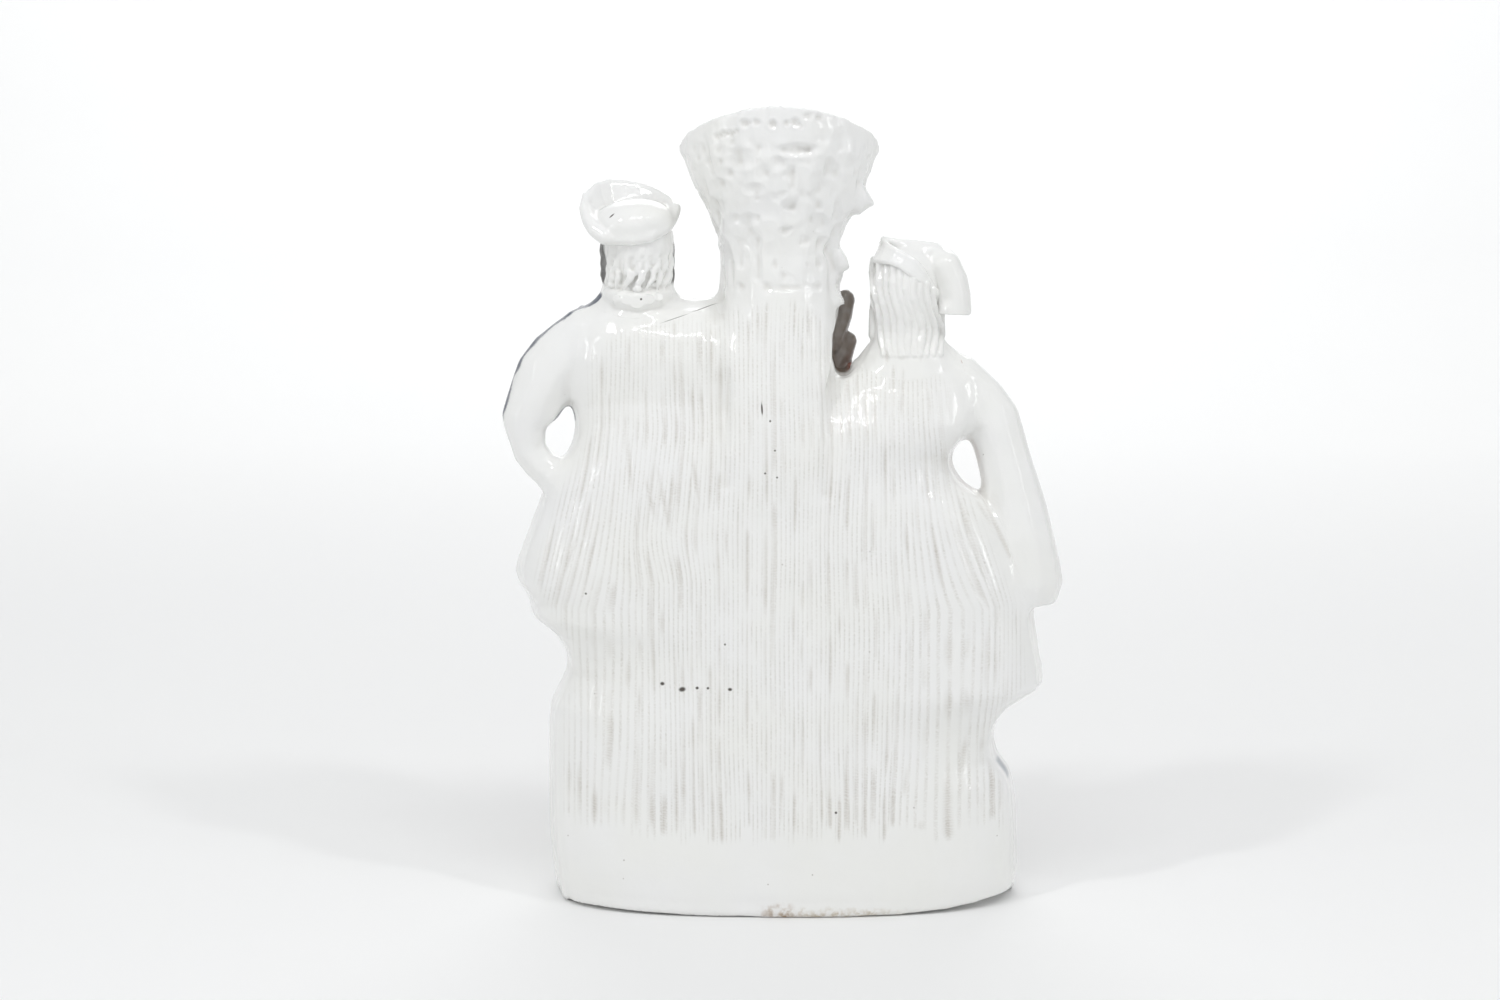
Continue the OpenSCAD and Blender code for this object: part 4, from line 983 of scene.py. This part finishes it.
# The shadowed fold between the crown and the hanging lappet
cap_clay.roll([
    (69.6, -19, 318, 3), (71, -17.6, 310, 3.4), (73.8, -16.8, 303, 3.4), (76.8, -15.6, 296.5, 2.6),
], 4, cut=True)
# The band round the head: a raised upper edge, a flat, and the lower edge over the hair
BAND_EDGE = [
    (48.4, -2, 323.6), (50.4, -8.6, 321.2), (54.6, -15, 319.2), (59.5, -17.4, 316.8), (63, -17.6, 314.6),
    (66.6, -16.6, 310.2), (69, -15, 305.6), (73, -11, 299.8), (76.4, -4.5, 296.6), (77.5, 4, 297),
    (76, 11, 300.5), (70, 17, 308), (61, 19, 315), (52, 15, 319), (48, 6, 321.5), (48.4, -2, 323.6),
]
BAND_FOOT = [
    (44.2, -2, 313.4), (47.4, -11.6, 314.4), (51.5, -16.6, 314), (55.7, -18.6, 312.5), (60.3, -19, 309.3),
    (64.8, -18, 305.7), (69.2, -15, 301.8), (73, -11, 298), (76, -4.5, 295.6), (77, 4, 295.6),
    (75.5, 11, 298.5), (69.5, 17.4, 304.5), (60.5, 19.6, 311), (51, 15.6, 314), (45.6, 6, 314),
    (44.2, -2, 313.4),
]
for share, size in ((0.2, 1.2), (0.4, 1.1), (0.6, 1.2), (0.8, 1.4), (1.0, 1.6), (0.0, 1.4)):
    strip = np.array(BAND_EDGE) * (1 - share) + np.array(BAND_FOOT) * share
    cap_clay.roll([(x, y, z, size) for x, y, z in strip], 1.2)

# Parting
# The joined skin is parted along its joints into the pieces that the potter pressed: each limb is cut off by
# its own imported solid, swollen by a little, and the shells and the trunk are split along the seam.


def cut(mesh, cutter, operation):
    """The part of a closed mesh inside another one ("INTERSECT") or outside it ("DIFFERENCE")."""
    work = [bpy.data.objects.new("work", m) for m in (mesh, cutter)]
    for made in work:
        bpy.context.scene.collection.objects.link(made)
    blade = work[0].modifiers.new("cut", "BOOLEAN")
    blade.operation, blade.object, blade.solver = operation, work[1], "MANIFOLD"
    result = bpy.data.meshes.new_from_object(work[0].evaluated_get(bpy.context.evaluated_depsgraph_get()))
    for made in work:
        bpy.data.objects.remove(made)
    return result


def swollen(by, *nodes):
    """Cutter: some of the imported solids, swollen evenly by a few mm."""
    points, triangles = triangles_of(*nodes)
    step = 1.5
    grid = openvdb.FloatGrid.createLevelSetFromPolygons(
        points, triangles=triangles, transform=placing((0, 0, 0), [step] * 3), halfWidth=by / step + 3
    )
    points, faces = grid.convertToQuads(by)
    return mesh_of(points, faces[:, ::-1])


def box_of(low, high):
    """Cutter: a plain box, its corners in mm."""
    made = bmesh.new()
    bmesh.ops.create_cube(made, size=1)
    bmesh.ops.subdivide_edges(made, edges=made.edges[:], cuts=60, use_grid_fill=True)
    low, high = np.array(low) / 1000, np.array(high) / 1000
    for corner in made.verts:
        corner.co = [low[k] + (corner.co[k] + 0.5) * (high[k] - low[k]) for k in range(3)]
    mesh = bpy.data.meshes.new("box")
    made.to_mesh(mesh)
    made.free()
    return mesh


def parted(mesh, cutter):
    """Both parts of a mesh: inside the cutter, and outside it."""
    return cut(mesh, cutter, "INTERSECT"), cut(mesh, cutter, "DIFFERENCE")


meshes = {}
man_cutter = swollen(4.5, "man_head")
woman_cutter = swollen(4.5, "woman_head")
fine_steps = [FINE] * 3
meshes["man_head"] = cut(modelled(man_clay, fine_steps), man_cutter, "INTERSECT")
meshes["woman_head"] = cut(modelled(woman_clay, fine_steps), woman_cutter, "INTERSECT")
meshes["man_bonnet"] = cut(modelled(bonnet_clay, fine_steps), meshes["man_head"], "DIFFERENCE")
meshes["woman_cap"] = cut(modelled(cap_clay, fine_steps), meshes["woman_head"], "DIFFERENCE")
trunk_nodes = ("trunk_back", "trunk_front", "well_floor")
trunk_cutter = swollen(2.5, *trunk_nodes)
trunk_clay = body.finer((-60, -56, 228), (60, 56, 396), 0.8)
modelled_trunk = modelled(trunk_clay, [trunk_clay.step] * 3)
trunk = cut(modelled_trunk, trunk_cutter, "INTERSECT")
rest = skin
for cutter in (man_cutter, woman_cutter, trunk_cutter):
    rest = cut(rest, cutter, "DIFFERENCE")
for node in ("side_knot_upper", "side_knot_lower", "branch_stub_upper", "branch_stub_lower"):
    knob = swollen(1.5, node)
    meshes[node] = cut(modelled_trunk, knob, "INTERSECT")
    trunk = cut(trunk, knob, "DIFFERENCE")
    rest = cut(rest, knob, "DIFFERENCE")
for node, by in (
    ("man_left_arm", 2.5),
    ("woman_right_arm", 2.5),
    ("man_right_arm", 2),
    ("woman_left_arm", 2),
    ("man_left_leg", 2),
    ("man_right_leg", 2),
):
    meshes[node], rest = parted(rest, swollen(by, node))
meshes["well_floor"], trunk = parted(trunk, swollen(0.5, "well_floor"))
behind = box_of((-200, -200, -50), (200, 0, 450))
meshes["trunk_back"], meshes["trunk_front"] = parted(trunk, behind)
meshes["base_slab"], rest = parted(rest, box_of((-200, -200, -50), (200, 200, 7)))
# The vent lets steam out of the closed hollow in the kiln
VENT_RADIUS, VENT_Y = 0.003, 0.0228
vent = bmesh.new()
bmesh.ops.create_cone(
    vent, cap_ends=True, segments=48, radius1=VENT_RADIUS, radius2=VENT_RADIUS, depth=0.04
)
bmesh.ops.translate(vent, verts=vent.verts, vec=(0, VENT_Y, 0))
vent_mesh = bpy.data.meshes.new("vent")
vent.to_mesh(vent_mesh)
vent.free()
meshes["base_slab"] = cut(meshes["base_slab"], vent_mesh, "DIFFERENCE")
rest = cut(rest, mesh_of(*hollow_clay.skin((5, 5, 5))), "DIFFERENCE")
meshes["body_back"], meshes["body_front"] = parted(rest, behind)

# Glaze
# Clear lead glaze over white earthenware, thick and glassy. It is cool and bright where it lies thin on the
# ridges, warm grey in combing and joints from pooled glaze and painted shade, with pinholes, specks and a few
# firing cracks.

glaze = bpy.data.materials.new("lead_glazed_earthenware")
glaze.use_nodes = True
tree = glaze.node_tree
glaze_shader = tree.nodes["Principled BSDF"]
metres = add(tree, "ShaderNodeTexCoord").outputs["Object"]
place = add(tree, "ShaderNodeVectorMath", {0: metres, "Scale": 1000}, operation="SCALE")
axes = add(tree, "ShaderNodeSeparateXYZ", {0: place}).outputs
# Clouds from 0 to 1, about this many mm apart, and how fine their detail is
clouds = {
    size: add(tree, "ShaderNodeTexNoise", {"Vector": place, "Scale": 1 / size, "Detail": detail})
    for size, detail in (
        (46, 2), (15, 2), (14, 2), (9, 3), (5, 2), (4.5, 2), (4, 2), (3, 2), (2.6, 3), (1.8, 2),
    )
}
noted = {
    name: add(tree, "ShaderNodeAttribute", attribute_name=name).outputs
    for name in ("hollow", "combed", "comb_across", "comb_area", "enamel")
}
# Tints that lie over the body colour, each with its amount, from the lowest up
layers = []

# Warm grey in combing, joints and dents: glaze that lies thick there, and painted shade in the hollows
pooled_and_shaded = add(tree, "ShaderNodeMapRange", {
    "Value": noted["hollow"]["Fac"], "From Min": 0.15, "From Max": 1.0, "To Max": 0.28,
})
layers.append(("#c8c4ba", pooled_and_shaded))

# The comb jumps as it is dragged, so its marks are broken into ticks, coarse and fine
JUMP_RATE, FINE_TOOTH_GAP, TICK_GAP = 4.6, 2.2, 1.3
breaks = []
for rate, cloud, sway, start, end, least in (
    (JUMP_RATE, 5, 22.0, -0.5, 0.7, 0.55),
    (2 * math.pi / TICK_GAP, 3, 30.0, -0.4, 0.6, 0.25),
):
    drift = add(tree, "ShaderNodeMath", {0: clouds[cloud], 1: sway}, operation="MULTIPLY")
    wave = add(tree, "ShaderNodeMath", {0: axes["Z"], 1: rate}, operation="MULTIPLY")
    wave = add(tree, "ShaderNodeMath", {0: wave, 1: drift}, operation="ADD")
    wave = add(tree, "ShaderNodeMath", {0: wave}, operation="SINE")
    breaks.append(add(tree, "ShaderNodeMapRange", {
        "Value": wave, "From Min": start, "From Max": end, "To Min": least,
    }))
ticked = add(tree, "ShaderNodeMapRange", {
    "Value": noted["combed"]["Fac"], "From Min": 0.1, "From Max": 0.7, "To Max": 0.75,
})
ticked = add(tree, "ShaderNodeMath", {0: ticked, 1: breaks[0]}, operation="MULTIPLY")
# Between the deep teeth run fine ones, as rows of faint ticks
teeth = add(tree, "ShaderNodeMath", {
    0: noted["comb_across"]["Fac"], 1: 2 * math.pi / FINE_TOOTH_GAP,
}, operation="MULTIPLY")
teeth = add(tree, "ShaderNodeMath", {0: teeth}, operation="SINE")
teeth = add(tree, "ShaderNodeMapRange", {"Value": teeth, "From Min": 0.1, "From Max": 0.9})
patches = add(tree, "ShaderNodeMapRange", {
    "Value": clouds[14], "From Min": 0.35, "From Max": 0.65, "To Min": 0.25, "To Max": 0.8,
})
patches = add(tree, "ShaderNodeMath", {0: noted["comb_area"]["Fac"], 1: patches}, operation="MULTIPLY")
fine = add(tree, "ShaderNodeMath", {0: teeth, 1: breaks[1]}, operation="MULTIPLY")
fine = add(tree, "ShaderNodeMath", {0: fine, 1: patches}, operation="MULTIPLY")
# Painted shade and pooled glaze in the fine comb ticks
layers.append(("#bab4aa", add(tree, "ShaderNodeMath", {0: fine, 1: 0.5}, operation="MULTIPLY")))
# Painted shade and pooled glaze in the deep comb marks, uneven in strength
uneven = add(tree, "ShaderNodeMapRange", {
    "Value": clouds[9], "From Min": 0.3, "From Max": 0.7, "To Min": 0.3, "To Max": 0.75,
})
layers.append(("#ada396", add(tree, "ShaderNodeMath", {0: ticked, 1: uneven}, operation="MULTIPLY")))

# Iron specks, few and small
SPECK_GAP = 7
cells = add(tree, "ShaderNodeTexVoronoi", {"Vector": place, "Scale": 1 / SPECK_GAP}).outputs
chosen = add(tree, "ShaderNodeSeparateColor", {0: cells["Color"]})
chosen = add(tree, "ShaderNodeMapRange", {"Value": chosen, "From Min": 0.86, "From Max": 0.88})
speck = add(tree, "ShaderNodeMapRange", {
    "Value": cells["Distance"], "From Min": 0.03, "From Max": 0.07, "To Min": 1.0, "To Max": 0.0,
})
speck = add(tree, "ShaderNodeMath", {0: chosen, 1: speck}, operation="MULTIPLY")
layers.append(("#6f6153", add(tree, "ShaderNodeMath", {0: speck, 1: 0.55}, operation="MULTIPLY")))

# Pinholes, specks and firing cracks of the back, as x, z, half width, half height in mm and lean in degrees
FLAWS = [
    (-10.5, 246, 0.5, 3.2, 4), (-58.4, 113.4, 1.2, 1.0, 0), (-48.8, 111, 1.9, 1.3, 12),
    (-41.6, 111.9, 0.9, 0.8, 0), (-36.4, 111.9, 0.7, 0.7, 0), (-25.8, 111.5, 1.2, 0.9, 0),
    (25.2, 51.7, 0.7, 0.7, 0), (-95.2, 156.2, 0.6, 0.6, 0), (-28.2, 133.2, 0.5, 0.6, 0),
    (-6.6, 240.4, 0.5, 0.6, 0), (-4.3, 226.4, 0.5, 0.5, 0), (-9, 215.5, 0.6, 0.5, 0),
    (-3.3, 213.6, 0.5, 0.5, 0), (-38.4, 291.4, 7.0, 0.16, 14), (-52.2, 287.3, 7.6, 0.13, 17),
    (-82.4, 336.4, 1.7, 0.35, 40), (-68.5, 296.6, 0.6, 0.6, 0),
]
flaws = 0.0
for x, z, wide, tall, lean in FLAWS:
    off = add(tree, "ShaderNodeVectorMath", {0: place, 1: (x, 0, z)}, operation="SUBTRACT")
    off = add(tree, "ShaderNodeVectorRotate", {
        "Vector": off, "Angle": math.radians(lean),
    }, rotation_type="Y_AXIS")
    off = add(tree, "ShaderNodeVectorMath", {0: off, 1: (1 / wide, 0, 1 / tall)}, operation="MULTIPLY")
    size = add(tree, "ShaderNodeVectorMath", {0: off}, operation="LENGTH")
    spot = add(tree, "ShaderNodeMapRange", {
        "Value": size, "From Min": 0.55, "From Max": 1.1, "To Min": 1.0, "To Max": 0.0,
    })
    flaws = add(tree, "ShaderNodeMath", {0: flaws, 1: spot}, operation="MAXIMUM")
behind_seam = add(tree, "ShaderNodeMapRange", {
    "Value": axes["Y"], "From Min": -3, "From Max": -1, "To Min": 0.95, "To Max": 0.0,
})
flaws = add(tree, "ShaderNodeMath", {0: flaws, 1: behind_seam}, operation="MULTIPLY")
layers.append(("#3d342c", flaws))

# Tan stain that has crept up from the foot in two places
ragged = add(tree, "ShaderNodeMapRange", {"Value": clouds[4], "To Min": -3, "To Max": 3})
ragged = add(tree, "ShaderNodeMath", {0: axes["Z"], 1: ragged}, operation="ADD")
dots = add(tree, "ShaderNodeMapRange", {
    "Value": clouds[2.6], "From Min": 0.42, "From Max": 0.62, "To Min": 0.15,
})
for x, wide, high, stain, strength in ((-2, 12, 8.0, "#8f6d3f", 0.75), (28, 36, 5.5, "#a18a5c", 0.6)):
    near = add(tree, "ShaderNodeMath", {0: axes["X"], 1: x}, operation="SUBTRACT")
    near = add(tree, "ShaderNodeMath", {0: near}, operation="ABSOLUTE")
    near = add(tree, "ShaderNodeMapRange", {
        "Value": near, "From Min": wide * 0.3, "From Max": wide, "To Min": 1.0, "To Max": 0.0,
    })
    low = add(tree, "ShaderNodeMapRange", {
        "Value": ragged, "From Min": 1.0, "From Max": high, "To Min": 1.0, "To Max": 0.0,
    })
    crept = add(tree, "ShaderNodeMath", {0: near, 1: low}, operation="MULTIPLY")
    spotty = add(tree, "ShaderNodeMath", {0: dots, 1: strength}, operation="MULTIPLY")
    layers.append((stain, add(tree, "ShaderNodeMath", {0: crept, 1: spotty}, operation="MULTIPLY")))

# The body colour drifts slowly between cool and warm white, and the tints lie over it
drift = add(tree, "ShaderNodeMapRange", {"Value": clouds[46], "From Min": 0.35, "From Max": 0.65})
colour = shade("#f1f1f0")
for tint, amount in [("#f0f0ed", drift), *layers]:
    colour = add(tree, "ShaderNodeMix", {"Factor": amount, "A": colour, "B": shade(tint)}, data_type="RGBA")
# Enamel colours over the glaze, from the brush work above
cover = noted["enamel"]["Alpha"]
dimmed = add(tree, "ShaderNodeMix", {"Factor": cover, "A": colour, "B": shade("#000000")}, data_type="RGBA")
over = add(tree, "ShaderNodeVectorMath", {0: dimmed, 1: noted["enamel"]["Color"]}, operation="ADD")
tree.links.new(over.outputs["Vector"], glaze_shader.inputs["Base Color"])

# Glassy, with a slight orange peel, and fine chatter marks of the comb
RELIEF_HEIGHT = 0.00011
parts = [
    add(tree, "ShaderNodeMath", {0: source, 1: share}, operation="MULTIPLY")
    for source, share in ((clouds[1.8], 0.3), (ticked, 1.2), (fine, 0.9))
]
peel = add(tree, "ShaderNodeMath", {0: clouds[4.5], 1: parts[0]}, operation="ADD")
chatter = add(tree, "ShaderNodeMath", {0: parts[1], 1: parts[2]}, operation="ADD")
chatter = add(tree, "ShaderNodeMath", {0: chatter, 1: flaws}, operation="ADD")
relief = add(tree, "ShaderNodeMath", {0: peel, 1: chatter}, operation="SUBTRACT")
relief = add(tree, "ShaderNodeBump", {"Height": relief, "Strength": 1.0, "Distance": RELIEF_HEIGHT})
tree.links.new(relief.outputs["Normal"], glaze_shader.inputs["Normal"])
dull = add(tree, "ShaderNodeMath", {0: cover, 1: 0.1}, operation="MULTIPLY")
rough = add(tree, "ShaderNodeMapRange", {
    "Value": clouds[15], "From Min": 0.3, "From Max": 0.7, "To Min": 0.05, "To Max": 0.09,
})
rough = add(tree, "ShaderNodeMath", {0: rough, 1: dull}, operation="ADD")
tree.links.new(rough.outputs["Value"], glaze_shader.inputs["Roughness"])
glaze_shader.inputs["IOR"].default_value = 1.52

for node, mesh in meshes.items():
    points = np.empty(len(mesh.vertices) * 3, np.float32)
    mesh.vertices.foreach_get("co", points)
    points = points.reshape(-1, 3) * 1000
    normals = normals_of(mesh)
    coat = enamelled(points, normals, node)
    mesh.attributes.new("enamel", "FLOAT_COLOR", "POINT").data.foreach_set("color", coat.ravel())
    if node.endswith("_back"):
        _, teeth_at, reach = comb_marks(points)
        note(mesh, "comb_across", teeth_at)
        note(mesh, "comb_area", reach * rise(-normals[:, 1], 0.2, 0.6))
    mesh.materials.clear()
    mesh.materials.append(glaze)
    mesh.shade_smooth()
    mesh.set_sharp_from_angle(angle=math.radians(55))
    piece = bpy.data.objects.new(node + "_glazed", mesh)
    bpy.context.scene.collection.objects.link(piece)
    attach(piece, "root")
    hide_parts(node)

# Seam roll
# A soft rope of clay that the potter thumbs along the inside of the seam before the halves are closed. It is
# never glazed, so it is matt, buff and a little gritty. The thumb leaves a row of shallow hollows along it.

THUMB_WIDTH, THUMB_DEPTH = 14.0, 0.8
# Grit in mm, drawn coarser than it is, so that it shows
GRIT_SIZE = 5 / 3
bare = bpy.data.materials.new("bare_fired_clay")
bare.use_nodes = True
bare_tree = bare.node_tree
grit = add(bare_tree, "ShaderNodeTexNoise", {
    "Vector": add(bare_tree, "ShaderNodeTexCoord").outputs["Object"],
    "Scale": 1000 / GRIT_SIZE,
    "Detail": 3.0,
})
tone = add(bare_tree, "ShaderNodeMix", {
    "Factor": grit, "A": shade("#d8cbb4"), "B": shade("#e6dcc9"),
}, data_type="RGBA")
bare_shader = bare_tree.nodes["Principled BSDF"]
bare_tree.links.new(tone.outputs["Result"], bare_shader.inputs["Base Color"])
bare_shader.inputs["Roughness"].default_value = 0.9

thumb_tree = bpy.data.node_groups.new("thumb_marks", "GeometryNodeTree")
thumb_tree.interface.new_socket("Roll", in_out="INPUT", socket_type="NodeSocketGeometry")
thumb_inputs = {
    name: thumb_tree.interface.new_socket(name, in_out="INPUT", socket_type="NodeSocket" + kind).identifier
    for name, kind in (
        ("Thumb width", "Float"), ("Thumb depth", "Float"), ("Seed", "Float"), ("Clay", "Material"),
    )
}
thumb_tree.interface.new_socket("Thumbed roll", in_out="OUTPUT", socket_type="NodeSocketGeometry")
given = thumb_tree.nodes.new("NodeGroupInput").outputs
whole = add(thumb_tree, "GeometryNodeMergeByDistance", {"Geometry": given["Roll"], "Distance": 1e-6})
finer = add(thumb_tree, "GeometryNodeSubdivideMesh", {"Mesh": whole.outputs["Geometry"], "Level": 2})
spacing = add(thumb_tree, "ShaderNodeMath", {0: 1.0, 1: given["Thumb width"]}, operation="DIVIDE")
marks = add(thumb_tree, "ShaderNodeTexVoronoi", {
    "W": given["Seed"], "Scale": spacing.outputs["Value"],
}, voronoi_dimensions="4D")
hollow = add(thumb_tree, "ShaderNodeMapRange", {
    "Value": marks.outputs["Distance"], "From Min": 0.0, "From Max": 0.7, "To Min": -1.0, "To Max": 0.0,
})
push = add(thumb_tree, "ShaderNodeMath", {
    0: hollow.outputs["Result"], 1: given["Thumb depth"],
}, operation="MULTIPLY")
outward = add(thumb_tree, "GeometryNodeInputNormal").outputs["Normal"]
shift = add(thumb_tree, "ShaderNodeVectorMath", {
    0: outward, "Scale": push.outputs["Value"],
}, operation="SCALE")
pressed = add(thumb_tree, "GeometryNodeSetPosition", {
    "Geometry": finer.outputs["Mesh"], "Offset": shift.outputs["Vector"],
})
real = add(thumb_tree, "GeometryNodeRealizeInstances", {"Geometry": pressed.outputs["Geometry"]})
made = add(thumb_tree, "GeometryNodeSetMaterial", {
    "Geometry": real.outputs["Geometry"], "Material": given["Clay"],
})
thumb_tree.links.new(made.outputs["Geometry"], thumb_tree.nodes.new("NodeGroupOutput").inputs["Thumbed roll"])

plain_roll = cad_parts["seam_roll"]
roll_mesh = plain_roll.data.copy()
roll_mesh.transform(plain_roll.matrix_world)
roll = bpy.data.objects.new("seam_roll_thumbed", roll_mesh)
bpy.context.scene.collection.objects.link(roll)
thumbing = roll.modifiers.new("thumb_marks", "NODES")
thumbing.node_group = thumb_tree
for name, value in (
    ("Thumb width", THUMB_WIDTH / 1000), ("Thumb depth", THUMB_DEPTH / 1000), ("Seed", 3.0), ("Clay", bare),
):
    thumbing[thumb_inputs[name]] = value
thumbed = bpy.data.meshes.new_from_object(roll.evaluated_get(bpy.context.evaluated_depsgraph_get()))
roll.modifiers.clear()
roll.data = thumbed
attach(roll, "root")
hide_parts("seam_roll")
